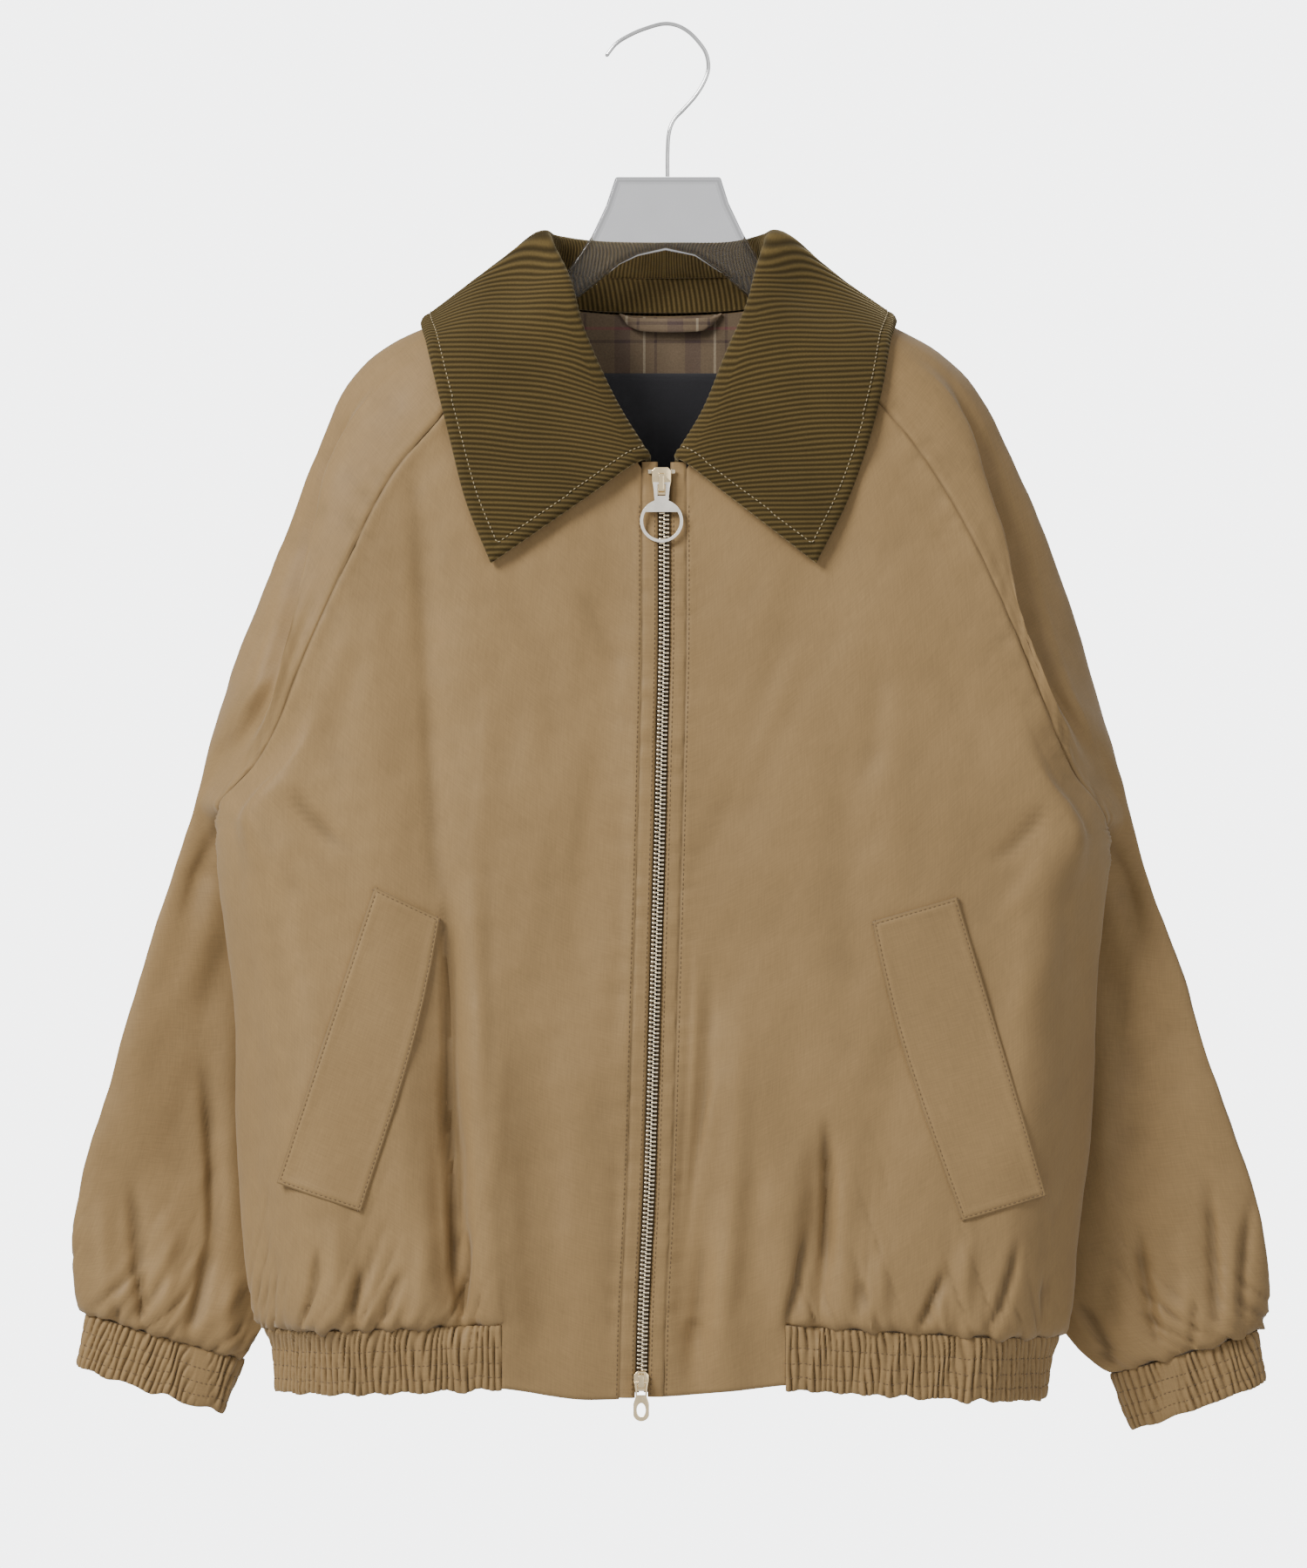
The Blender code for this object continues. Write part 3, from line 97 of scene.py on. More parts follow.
# The front raglan seam down to the armhole, then the side edge down to the hem band
FRONT_EDGE = {
    LEFT: (
        # x, drop
        (-78, 176), (-136, 243), (-166, 279), (-194, 332), (-221, 392), (-241, 440), (-260, 466),
        (-275, 480), (-278, 505), (-275, 536), (-268, 590), (-266, 640), (-264, 700), (-258, 760),
        (-248, 806), (-242, 818), (-240, 848),
    ),
    RIGHT: (
        (73, 176), (132, 236), (157, 266), (180, 302), (209, 362), (237, 430), (254, 464),
        (272, 490), (276, 512), (273, 540), (268, 600), (266, 660), (262, 715), (254, 772),
        (245, 811), (240, 823), (236, 853),
    ),
}

# Where the front of the sleeve folds back over itself, from the shoulder to the armhole
FOLD_EDGE = {
    LEFT: ((-194, 222), (-207, 265), (-221, 337), (-236, 399), (-247, 441), (-262, 462)),
    RIGHT: ((183, 221), (193, 269), (207, 313), (218, 362), (231, 406), (244, 444), (259, 468)),
}

# The back raglan seam, and the hidden inner edge of the sleeve that goes on below it
BACK_SEAM = {
    LEFT: ((-76, 171), (-118, 232), (-158, 312), (-188, 395), (-205, 465), (-214, 530)),
    RIGHT: ((71, 171), (114, 232), (154, 312), (186, 395), (203, 469), (213, 540)),
}
SLEEVE_INNER = {
    LEFT: ((-214, 530), (-204, 580), (-204, 645), (-214, 710), (-229, 765), (-247, 806),
           (-262, 829)),
    RIGHT: ((213, 540), (202, 590), (203, 655), (214, 725), (232, 785), (255, 822), (279, 838)),
}
FOLD_TO = 9 / 11        # the share of the armhole at which it turns under the arm
WRAP = 60.0             # how far each front runs round the side to its seam on the back
ROLL_IN = 46.0          # where the front starts to turn round the side
ROLL_NEAR = 13.0        # the last place that is shaped before the turn, and its lag in depth
ROLL_LAG = 24.0
FLAT_BLEND = 14.0       # the width over which the folds die out towards the turn
WRAP_START = {LEFT: 479.0, RIGHT: 489.0}
WRAP_END = {LEFT: 530.0, RIGHT: 540.0}
ZIP_LINE = ((0, 277), (0, 362), (-2, 470), (-5, 578), (-9, 713), (-13, 800), (-14, 846))
STRIP_IN = 3.9          # the strip beside the zip starts here
STRIP_OUT = 13.6
BAND_START = {LEFT: -99.0, RIGHT: 74.0}

# The largest folds: soft troughs and ridges across the front. Depth is towards the hanger.
FRONT_FOLDS = (
    # x0, drop0, x1, drop1, half-width, depth
    (-150, 330, -140, 560, 22, 5),
    (-139, 560, -134, 700, 15, 9),
    (-134, 700, -122, 800, 14, 11),
    (-108, 610, -98, 800, 15, -7),
    (-30, 330, -52, 560, 18, 4),
    (22, 640, 18, 840, 10, 5),
    (44, 620, 38, 830, 13, -5),
    (97, 690, 92, 800, 14, 8),
    (72, 700, 75, 800, 14, -5),
    (150, 600, 120, 760, 20, 4),
    (-215, 640, -200, 800, 16, -4),
)
BACK_FOLDS = (
    (-120, 420, -140, 790, 24, 6),
    (-60, 560, -70, 800, 16, -4),
    (20, 480, 10, 800, 22, 6),
    (90, 560, 100, 800, 16, -5),
    (140, 400, 150, 790, 22, 6),
)


def steps(rows, at):
    """A smooth value at one place in a table of (place, value) rows that never overshoots."""
    x = np.array([row[0] for row in rows], float)
    y = np.array([row[1] for row in rows], float)
    if x[0] > x[-1]:
        x, y = x[::-1], y[::-1]
    run = np.diff(x)
    rise = np.diff(y) / run
    slope = np.zeros(len(x))
    for i in range(1, len(x) - 1):
        if rise[i - 1] * rise[i] > 0:
            a = 2 * run[i] + run[i - 1]
            b = run[i] + 2 * run[i - 1]
            slope[i] = (a + b) / (a / rise[i - 1] + b / rise[i])
    slope[0], slope[-1] = rise[0], rise[-1]
    at = np.clip(at, x[0], x[-1])
    i = np.clip(np.searchsorted(x, at) - 1, 0, len(run) - 1)
    t = (at - x[i]) / run[i]
    return (
        y[i] * (1 + 2 * t) * (1 - t) ** 2 + slope[i] * run[i] * t * (1 - t) ** 2
        + y[i + 1] * t * t * (3 - 2 * t) + slope[i + 1] * run[i] * t * t * (t - 1)
    )


def swap(rows):
    return tuple((drop, x) for x, drop in rows)


def ease(low, high, at):
    t = np.clip((at - low) / (high - low), 0, 1)
    return t * t * (3 - 2 * t)


def mix(a, b, t):
    return a + (b - a) * t


def bell(at, width):
    """1 at nought, dying out softly on both sides over so great a width."""
    return np.exp(-(at / width) ** 2)


def extended(p):
    """The points with one more before the first and after the last, straight on."""
    return np.concatenate([2 * p[:1] - p[1:2], p, 2 * p[-1:] - p[-2:-1]])


def curve_point(a, b, c, d, t):
    """A share of the way from b to c, on a smooth curve through a, b, c and d."""
    return 0.5 * (2 * b + (c - a) * t + (2 * a - 5 * b + 4 * c - d) * t ** 2
                  + (3 * b - a - 3 * c + d) * t ** 3)


def run_length(p):
    """How far along a line each of its points is."""
    return np.concatenate([[0], np.cumsum(norm(np.diff(p, axis=0), axis=1))])


def placed(points, at, wanted):
    """Points at the wanted places on a line whose own points are at the places given."""
    return np.stack([np.interp(wanted, at, points[:, k]) for k in range(3)], axis=1)


def path(points, counts):
    """Points along a smooth curve through the given ones.

    counts holds (index of a given point, number of stretches up to it, power by which the
    stretches get shorter towards it).
    """
    p = np.array(points, float)
    ends = extended(p)
    fine = []
    for i in range(len(p) - 1):
        a, b, c, d = ends[i:i + 4]
        fine += [curve_point(a, b, c, d, t) for t in np.linspace(0, 1, 16, endpoint=False)]
    fine = np.array(fine + [p[-1]])
    length = run_length(fine)
    wanted, start = [0.0], 0.0
    for index, count, power in counts:
        end = length[index * 16]
        shares = np.linspace(0, 1, count + 1)[1:]
        wanted += list(mix(start, end, 1 - (1 - shares) ** power))
        start = end
    return placed(fine, length, wanted)


def along(rows, t):
    """The point at a share of the length of an (x, drop) table."""
    p = np.array(rows, float)
    length = run_length(p)
    share = length / length[-1]
    return np.array([steps(list(zip(share, p[:, k])), t) for k in range(2)])


def outline_distance(x, drop):
    """How far a point lies inside the outline of the shoulders and sleeves."""
    side = LEFT if x < 0 else RIGHT
    neck = abs(OUTLINE[side][0][0])
    if abs(x) < neck:
        ridge = NECK_DROP - NECK_DOME * (1 - (x / neck) ** 2)
    else:
        ridge = steps([(abs(r[0]), r[1]) for r in OUTLINE[side][:12]], abs(x))
    below = max(drop - ridge, 0.0)
    edge = abs(steps(swap(OUTLINE[side]), drop))
    beside = max(edge - abs(x), 0.0)
    return below * beside / max(math.hypot(below, beside), 1e-6)


def pillow(x, drop):
    t = min(outline_distance(x, drop) / PILLOW, 1.0)
    return math.sqrt(1 - (1 - t) ** 2)


def creases(rows, x, drop):
    total = 0.0
    for x0, drop0, x1, drop1, half_width, depth in rows:
        t = (drop - drop0) / (drop1 - drop0)
        fade = ease(-0.25, 0.35, t) * (1 - ease(0.85, 1.2, t))
        away = (x - mix(x0, x1, min(max(t, 0), 1))) / half_width
        total += depth * fade * math.exp(-away * away)
    return total


def front_y(x, drop):
    full = steps([row[:2] for row in DEPTH], drop)
    sides = 10 * ease(120, 300, abs(x))
    return -(full - sides) * pillow(x, drop) + creases(FRONT_FOLDS, x, drop)


def back_y(x, drop):
    full = steps([(row[0], row[2]) for row in DEPTH], drop)
    sides = 16 * ease(60, 230, abs(x)) * ease(300, 480, drop)
    return (full - sides) * pillow(x, drop) - creases(BACK_FOLDS, x, drop)


def side_y(drop):
    return mix(-4.0, 0.0, ease(480, 620, drop))


def zip_x(drop):
    return steps(swap(ZIP_LINE), drop)


def edge_x(side, drop):
    return steps(swap(FRONT_EDGE[side]), drop)


def wrap_share(side, drop):
    return ease(WRAP_START[side], WRAP_END[side], drop)


def side_seam(side, drop):
    """The seam on the back where a front that has run round the side meets the back."""
    x = edge_x(side, drop) - side * WRAP
    return x, back_y(x, drop)


def front_row(side, start, drop, tilt, count, power=1.0, turned_count=0):
    """One row of a front, from a place beside the zip out to its raglan or side seam."""
    out = edge_x(side, drop)
    wrap = wrap_share(side, drop)
    strip = zip_x(drop + tilt) + side * STRIP_OUT
    points = []
    roll = side * ROLL_IN * mix(0.6, 1.0, wrap)
    for share in (0.0, 0.3, 0.62, 1.0):
        x = mix(start, out - roll, share)
        at = drop + tilt * abs(out - x) / abs(out - strip)
        points.append((x, front_y(x, at), at))
    turned = ease(WRAP_START[side] - 75, WRAP_START[side] + 40, drop)
    near = out - side * ROLL_NEAR
    at = drop + tilt * abs(out - near) / abs(out - strip)
    points.append((near, mix(front_y(near, drop), side_y(drop) - ROLL_LAG, turned), at))
    points.append((out, mix(front_y(out, drop), side_y(drop), turned), drop))
    bunched = mix(1.0, 2.2, ease(WRAP_START[side] - 60, WRAP_START[side], drop))
    if wrap > 0.05:
        bunched = 1.0
        end_x, end_y = side_seam(side, drop)
        bend = out - side * ROLL_NEAR
        points.append((mix(out, bend, wrap), mix(points[-1][1], end_y * 0.5, wrap), drop))
        points.append((mix(out, end_x, wrap), mix(points[-2][1], end_y, wrap), drop))
    last = len(points) - 1
    row = path(points, ((4, count - 1 - turned_count, power), (last, turned_count, bunched)))
    rolled = abs(out - roll)
    for p in row[:count - turned_count]:
        flat = 1 - ease(rolled - FLAT_BLEND, rolled, abs(p[0]))
        p[1] = mix(p[1], front_y(p[0], p[2]), flat)
    return row


ARM_LIFT = 70.0         # how much lower the armhole's row is at the zip
BAND_TOP_AT = {LEFT: (797.5, 807.0), RIGHT: (796.5, 812.0)}
BAND_END_AT = {LEFT: (838.0, 846.0), RIGHT: (836.0, 851.0)}


def front_seam_drop(side, t):
    """How low the front raglan seam is at a share of the armhole."""
    raglan = FRONT_EDGE[side][:8]
    if t < FOLD_TO:
        return along(raglan, t / FOLD_TO)[1]
    return mix(raglan[-1][1], WRAP_END[side], (t - FOLD_TO) / (1 - FOLD_TO))


def back_seam_drop(side, t):
    return steps([(0, BACK_SEAM[side][0][1]), (0.5, 322), (1, WRAP_END[side])], t)


def front_levels(side, rows, arm_rows):
    """The drops of a front's rows beside the zip and at its outer seam."""
    arm = WRAP_END[side]
    top, low = BAND_TOP_AT[side]
    below = rows - arm_rows
    at_zip = np.concatenate(
        [np.linspace(ZIP_TOP, arm + ARM_LIFT, arm_rows + 1),
         np.linspace(arm + ARM_LIFT, top, below)[1:]]
    )
    arms = [front_seam_drop(side, t) for t in np.linspace(0, 1, arm_rows + 1)]
    return list(zip(at_zip, np.concatenate([arms, np.linspace(arm, low, below)[1:]])))


def front_grid(side, rows, arm_rows, cols, turned):
    return np.array([
        front_row(side, zip_x(at_zip) + side * STRIP_OUT, at_seam, at_zip - at_seam, cols, 1.3,
                  turned)
        for at_zip, at_seam in front_levels(side, rows, arm_rows)
    ])


def centre_hem(x):
    """How low the plain centre of the hem hangs."""
    return steps(((-99, 840), (-43, 847), (-14, 846), (28, 843), (74, 838)), x)


def back_seam(side, drop):
    """The back raglan seam, and below the armhole the side seam."""
    arm = WRAP_END[side]
    if drop >= arm:
        return side_seam(side, drop)[0]
    return steps(swap(BACK_SEAM[side][:-1] + ((side_seam(side, arm)[0], arm),)), drop)


NECK_BACK = 178.0


def back_levels(rows, arm_rows):
    below = rows - arm_rows
    out = []
    for side in (LEFT, RIGHT):
        arms = [back_seam_drop(side, t) for t in np.linspace(0, 1, arm_rows + 1)]
        lower = np.linspace(WRAP_END[side], BAND_TOP_AT[side][1], below)[1:]
        out.append(np.concatenate([arms, lower]))
    return list(zip(*out))


def back_row(left_drop, right_drop, middle, cols):
    left, right = back_seam(LEFT, left_drop), back_seam(RIGHT, right_drop)
    row = []
    for j in range(cols):
        t = j / (cols - 1)
        x = mix(left, right, t)
        drop = mix(left_drop, right_drop, t) + middle * math.sin(math.pi * t) ** 0.7
        row.append((x, back_y(x, drop), drop))
    return row


def back_grid(rows, arm_rows, cols):
    grid = []
    for i, (left_drop, right_drop) in enumerate(back_levels(rows, arm_rows)):
        middle = mix(NECK_BACK - BACK_SEAM[LEFT][0][1], HEM_ARCH, ease(0, arm_rows, i))
        grid.append(back_row(left_drop, right_drop, middle, cols))
    return np.array(grid)


ARM_AT_OUTLINE = (
    # share of the armhole, share of the outline
    (0, 0.0), (0.22, 0.157), (0.44, 0.374), (0.66, 0.49), (0.818, 0.545), (0.9, 0.575), (1, 0.615),
)
FOLD_FROM = 0.22        # where the fold down the front of the sleeve starts
TUCK = 7.0              # how far the cloth turns in under the fold
FOLD_OVER = 6.5         # the least distance from the seam out to the fold
FOLD_STEP = 24.0        # how far back the sleeve lies behind the fold
SLEEVE_FORM = (
    # share below the armhole, outline y, inner y, forward bulge, thickness
    (0.0, 20, 24, 0, 34), (0.2, 16, 36, 4, 40), (0.5, 13, 38, 8, 42), (0.8, 16, 36, 12, 38),
    (0.93, 22, 32, 16, 26), (1.0, 28, 30, 15, 15),
)


def form(column, t):
    return steps([(row[0], row[column]) for row in SLEEVE_FORM], t)


def sleeve_ends(side, t):
    """Where one row of the upper sleeve meets the front and the back."""
    drop = front_seam_drop(side, t)
    front = front_row(side, side * STRIP_OUT, drop, 0.0, 3, turned_count=1)[-1]
    drop = back_seam_drop(side, t)
    x = back_seam(side, drop)
    return front, np.array((x, back_y(x, drop), drop))


def bulge(f):
    return max(1 - abs(2 * f - 1) ** 2.4, 0.0) ** (1 / 2.4)


def sleeve_layer(side, t, f, back):
    """A point on the front or back layer of the lower sleeve, f of the way to its inner edge."""
    share = mix(ARM_AT_OUTLINE[-1][1], 1.0, max(t, 0.0))
    outer = along(OUTLINE[side], share)
    inner = along(SLEEVE_INNER[side], max(t, 0.0))
    x, drop = mix(outer, inner, f)
    y = mix(form(1, t), form(2, t), f)
    if back:
        y += form(4, t) * bulge(f)
    else:
        y -= form(3, t) * bulge(f)
    return np.array((x, y, drop))


def upper_controls(side, t):
    front, back = sleeve_ends(side, t)
    x, drop = along(OUTLINE[side], steps(ARM_AT_OUTLINE, t))
    out = np.array((x, mix(0.0, form(1, 0), ease(0.1, 1, t)), drop))
    flat = [mix(front, out, share) for share in (0.35, 0.62, 0.76, 0.88)]
    for p in flat:
        p[1] = front_y(p[0], p[2])
    deep = ease(0.45, 0.72, t)
    fdrop = front[2] - mix(20.0, 3.0, ease(FOLD_FROM, 0.6, t))
    fx = side * max(abs(steps(swap(FOLD_EDGE[side]), fdrop)), abs(front[0]) + FOLD_OVER)
    fold = np.array((fx, mix(front_y(fx, fdrop), front[1] - 4, deep), fdrop))
    across = (out - fold) / max(norm((out - fold)[[0, 2]]), 1e-6)
    tuck = fold - across * TUCK * (1 - ease(0.5, 0.68, t))
    tuck[1] = fold[1] + FOLD_STEP * 0.75
    layer = mix(fold, out, 0.5)
    layer[1] = fold[1] + FOLD_STEP
    strip = mix(front, fold, 0.5)
    strip[1] = mix(front_y(strip[0], strip[2]), mix(front[1], fold[1], 0.5), deep)
    folded = ease(FOLD_FROM - 0.1, FOLD_FROM + 0.2, t)
    gone = ease(0.6, 0.74, t)
    turned = [
        mix(mix(plain, p, folded), mix(front, out, share), gone)
        for plain, p, share in zip(flat, (strip, fold, tuck, layer), (0.14, 0.28, 0.45, 0.72))
    ]
    behind = []
    for f in (0.15, 0.42, 0.75):
        p = mix(out, back, f)
        swell = form(4, 0) * bulge(f) * ease(0.15, 1, t)
        p[1] = mix(back_y(p[0], p[2]), mix(out[1], back[1], f), ease(0.2, 1, t)) + swell
        behind.append(p)
    return [front] + turned + [out] + behind + [back]


def lower_controls(side, t):
    front = [sleeve_layer(side, t, f, False) for f in (0.97, 0.8, 0.62, 0.5, 0.22, 0.0)]
    back = [sleeve_layer(side, t, f, True) for f in (0.12, 0.4, 0.75, 0.97)]
    if t == 0:
        x, y = side_seam(side, WRAP_END[side])
        front[0] = np.array((x, y + 1.0, WRAP_END[side]))
        back[-1] = np.array((x, y + 12.0, WRAP_END[side] + 1.0))
    return front + back


def through(points, counts):
    """Points on a centripetal curve through the given ones, so many for each stretch."""
    p = np.array(points, float)
    ends = extended(p)
    out = [p[0]]
    for i, count in enumerate(counts):
        a, b, c, d = ends[i:i + 4]
        t0 = 0.0
        t1 = t0 + max(norm(b - a), 1e-3) ** 0.5
        t2 = t1 + max(norm(c - b), 1e-3) ** 0.5
        t3 = t2 + max(norm(d - c), 1e-3) ** 0.5
        for k in range(1, count + 1):
            t = mix(t1, t2, k / count)
            a1 = (t1 - t) / (t1 - t0) * a + (t - t0) / (t1 - t0) * b
            a2 = (t2 - t) / (t2 - t1) * b + (t - t1) / (t2 - t1) * c
            a3 = (t3 - t) / (t3 - t2) * c + (t - t2) / (t3 - t2) * d
            b1 = (t2 - t) / (t2 - t0) * a1 + (t - t0) / (t2 - t0) * a2
            b2 = (t3 - t) / (t3 - t1) * a2 + (t - t1) / (t3 - t1) * a3
            out.append((t2 - t) / (t2 - t1) * b1 + (t - t1) / (t2 - t1) * b2)
    return np.array(out)


def sleeve_grid(side, upper, lower, counts):
    rows = [through(upper_controls(side, t), counts) for t in np.linspace(0, 1, upper + 1)[:-1]]
    rows += [through(lower_controls(side, t), counts) for t in np.linspace(0, 1, lower + 1)]
    return np.array(rows)


COLLAR = (
    # fold x, fold drop, fold y, edge x, edge drop, neck x, neck drop, face (-1 front, 1 back)
    (-12, 270, -48, -106, 335, -13, 277, -1),
    (-29, 239, -44, -121, 298, -33, 246, -1),
    (-45, 206, -38, -131, 260, -50, 220, -1),
    (-57, 178, -31, -139, 228, -63, 201, -1),
    (-65, 150, -20, -146, 200, -76, 179, -1),
    (-74, 128, -4, -149, 184, -84, 167, 0),
    (-70, 129, 10, -132, 190, -77, 171, 1),
    (-50, 132, 24, -92, 206, -55, 176, 1),
    (-20, 134, 31, -38, 215, -20, 178, 1),
    (20, 134, 31, 36, 215, 20, 178, 1),
    (48, 132, 24, 88, 206, 53, 176, 1),
    (65, 129, 10, 127, 188, 74, 171, 1),
    (69, 129, -4, 142, 184, 79, 167, 0),
    (61, 150, -20, 139, 199, 72, 179, -1),
    (53, 178, -31, 134, 226, 60, 201, -1),
    (42, 206, -38, 126, 258, 47, 220, -1),
    (27, 239, -44, 113, 295, 30, 246, -1),
    (9, 270, -48, 93, 335, 12, 277, -1),
)
COLLAR_ROLL = 6.4       # how thick the collar is where it folds over its stand
COLLAR_LIFT = 3.6       # how far the turned-down collar stands off the cloth at its edge
COLLAR_PUFF = 3.0
NECK_IN = 3.4           # how far inside the neck seam the stand's foot is
NECK_UP = 1.6
STAND_SHARE = 0.42      # where the stand meets the fall, as a share of the way down inside


def cloth_y(face, x, drop):
    if face < 0:
        return front_y(x, drop)
    return back_y(x, drop) if face > 0 else 0.0


def unit(v):
    return v / max(norm(v), 1e-9)


def collar_section(row):
    """The fall's controls from its joint with the stand to its edge, and the stand's foot."""
    fold_x, fold_drop, fold_y, edge_x_at, edge_drop, neck_x, neck_drop, face = row
    fold = np.array((fold_x, fold_y, fold_drop), float)
    leaf = []
    for b in (0.05, 0.35, 0.7, 1.0):
        x, drop = mix(fold_x, edge_x_at, b), mix(fold_drop, edge_drop, b)
        lift = COLLAR_LIFT + COLLAR_PUFF * math.sin(math.pi * b)
        lying = cloth_y(face, x, drop) + lift * face
        far = cloth_y(face, edge_x_at, edge_drop) + COLLAR_LIFT * face
        leaf.append(np.array((x, mix(lying, mix(fold_y, far, b), (1 - b) ** 1.2), drop)))
    neck_y = cloth_y(face, neck_x, neck_drop)
    foot = np.array((neck_x, neck_y, neck_drop), float)
    middle = np.array((0.0, 0.0, neck_drop))
    foot += unit(middle - foot) * NECK_IN - np.array((0, 0, NECK_UP))
    down = unit(leaf[-1] - fold)
    into = unit(foot - fold)
    across = unit(np.cross(np.cross(down, into), down))
    if np.dot(across, into) < 0:
        across = -across
    crest = fold + across * COLLAR_ROLL / 2
    inside = fold + across * COLLAR_ROLL + into * 4
    joint = mix(inside, foot, STAND_SHARE)
    return [joint, inside, crest] + leaf, foot


def collar_grids(along_counts, across, stand_rows):
    sections = [collar_section(row) for row in COLLAR]
    controls = np.array([section[0] for section in sections])
    lines = np.array([through(controls[:, k], along_counts) for k in range(controls.shape[1])])
    fall = np.array([through(lines[:, k], across) for k in range(lines.shape[1])])
    foot = through(np.array([section[1] for section in sections]), along_counts)
    shares = np.linspace(0, 1, stand_rows + 1)[:, None]
    stand = np.array([mix(a[None], b[None], shares) for a, b in zip(fall[:, 0], foot)])
    return fall, stand


LINING_EDGE = 4.0       # how far its edges stay from the back's seams
LINING_IN = 5.0         # how far the lining hangs inside the back
LABEL = (-40.0, 37.0, 214.0, 276.0)
LABEL_WALL = 1.0
LABEL_OFF = 0.4
LOOP = (
    # x, drop, how far it stands off the lining
    (-28, 180, -1.6), (-19, 187, 0.7), (4, 189, 1.4), (28, 187, 0.9), (36, 180, -1.3),
)
LOOP_WIDE = 6.0
LOOP_WALL = 1.6


def inside_back(x, drop, depth):
    return np.array((x, back_y(x, drop) - depth, drop))


TAPE_IN = 1.4           # how far from the middle of the zip its tapes start
TAPE_OUT = 16.0
TAPE_WALL = 0.8
WELT_WALL = 2.0
WELT = {
    # (x, drop) corners: top outer, top inner, low inner, low outer
    LEFT: ((-177, 533), (-137, 552), (-185, 731), (-237, 714)),
    RIGHT: ((179, 539), (127, 554), (182, 737), (234, 722)),
}
WELT_BOW = 6.0          # how far the welt's inner side bows towards the zip
HEM_ARCH = -6.0         # how much the hem rises across the back
CUFF_END = {
    # outer and inner (x, drop) of a cuff's open end
    LEFT: ((-366, 833), (-276, 862)),
    RIGHT: ((375, 843), (292, 873)),
}
CUFF_HALF = 15.0
CUFF_FLARE = 1.0
HOOK = (
    # x, drop along the wire's middle
    (-36, 19), (-29.5, 11), (-20, 5.2), (-10, 1.2), (0, -1.25), (8, -0.2), (15, 3.6), (21, 9.5),
    (26, 17), (27.5, 26), (25, 34.5), (19.5, 43.5), (12, 52), (6, 58.5), (3, 67), (2.2, 80),
    (2.2, 93.5),
)
HOOK_WIRE = 1.25


def cuff_ring(side, t, count):
    """One ring of a cuff, the sleeve's last ring at t = 0 and the open end at t = 1."""
    top = (along(OUTLINE[side], 1.0), along(SLEEVE_INNER[side], 1.0))
    outer, inner = (mix(a, np.array(b, float), t) for a, b in zip(top, CUFF_END[side]))
    ring = []
    for turn in np.linspace(0, 2 * math.pi, 241):
        f = 0.5 + 0.5 * math.cos(turn)
        x, drop = mix(outer, inner, f)
        half = (CUFF_HALF + CUFF_FLARE * t) * bulge(f)
        y = mix(form(1, 1), form(2, 1), f) - math.copysign(half, math.sin(turn))
        ring.append((x, y, drop))
    ring = np.array(ring)
    length = run_length(ring)
    return placed(ring, length, np.linspace(0, length[-1], count, endpoint=False))


# ---- fine surfaces

ARM_FINE = 24           # rows of a front, the back and a sleeve above the armhole
BODY_FINE = 46          # all rows of a front and of the back
FRONT_FINE = 37
TURNED_FINE = 10
BACK_FINE = 45
SLEEVE_FINE = 22
SLEEVE_STEPS = (2, 2, 4, 4, 6, 4, 4, 4, 6)
CENTRE_FINE = 12        # rows of the plain centre of the hem, between the bands
FRONT_POINTS = 169      # points across one row of a finished front, and of the back
BACK_POINTS = 201
BETWEEN = 4             # points laid between two rows or columns of the form


def finer(grid, down=BETWEEN, across=BETWEEN):
    """The same surface with more points, on smooth curves through its own ones."""
    def along_rows(g, k):
        ends = extended(g)
        t = (np.arange(k) / k).reshape(-1, 1, 1, 1)
        p = curve_point(ends[:-3], ends[1:-2], ends[2:-1], ends[3:], t)
        p = p.transpose(1, 0, 2, 3).reshape(-1, *g.shape[1:])
        return np.concatenate([p, g[-1:]])

    tall = along_rows(grid, down)
    return along_rows(tall.transpose(1, 0, 2), across).transpose(1, 0, 2)


def directions(grid, flip=False):
    """Unit directions out of a fine grid."""
    n = np.cross(np.gradient(grid, axis=1), np.gradient(grid, axis=0))
    n /= np.maximum(norm(n, axis=2, keepdims=True), 1e-9)
    return -n if flip else n


def lengths(grid):
    """How far each point lies along its row and down its column."""
    across, down = np.zeros(grid.shape[:2]), np.zeros(grid.shape[:2])
    across[:, 1:] = np.cumsum(norm(np.diff(grid, axis=1), axis=2), axis=1)
    down[1:] = np.cumsum(norm(np.diff(grid, axis=0), axis=2), axis=0)
    return across, down


def from_sides(across):
    """How far each point lies from the nearer end of its row."""
    return np.minimum(across, across[:, -1:] - across)


def from_edges(across, down):
    """How far each point lies from the nearest edge of its piece."""
    return np.minimum(from_sides(across), np.minimum(down, down[-1:] - down))


def crowded(grid, count, near=3.0, more=3.0, by_row=None):
    """The same rows with so many points each, closer together beside both ends.

    by_row holds how far each row is crowded, when its points must stay on their own columns.
    """
    across = lengths(grid)[0]
    if by_row is not None:
        across = np.linspace(0, across[:, -1].mean(), grid.shape[1])[None] + 0 * across
    rows = []
    for r, (points, at) in enumerate(zip(grid, across)):
        extra = near * more * (1.0 if by_row is None else by_row[r])
        far = np.exp(-(at[-1] - at) / near) - math.exp(-at[-1] / near)
        gathered = at + extra * (1 - np.exp(-at / near) + far)
        wanted = np.interp(np.linspace(0, gathered[-1], count), gathered, at)
        rows.append(placed(points, at, wanted))
    return np.array(rows)


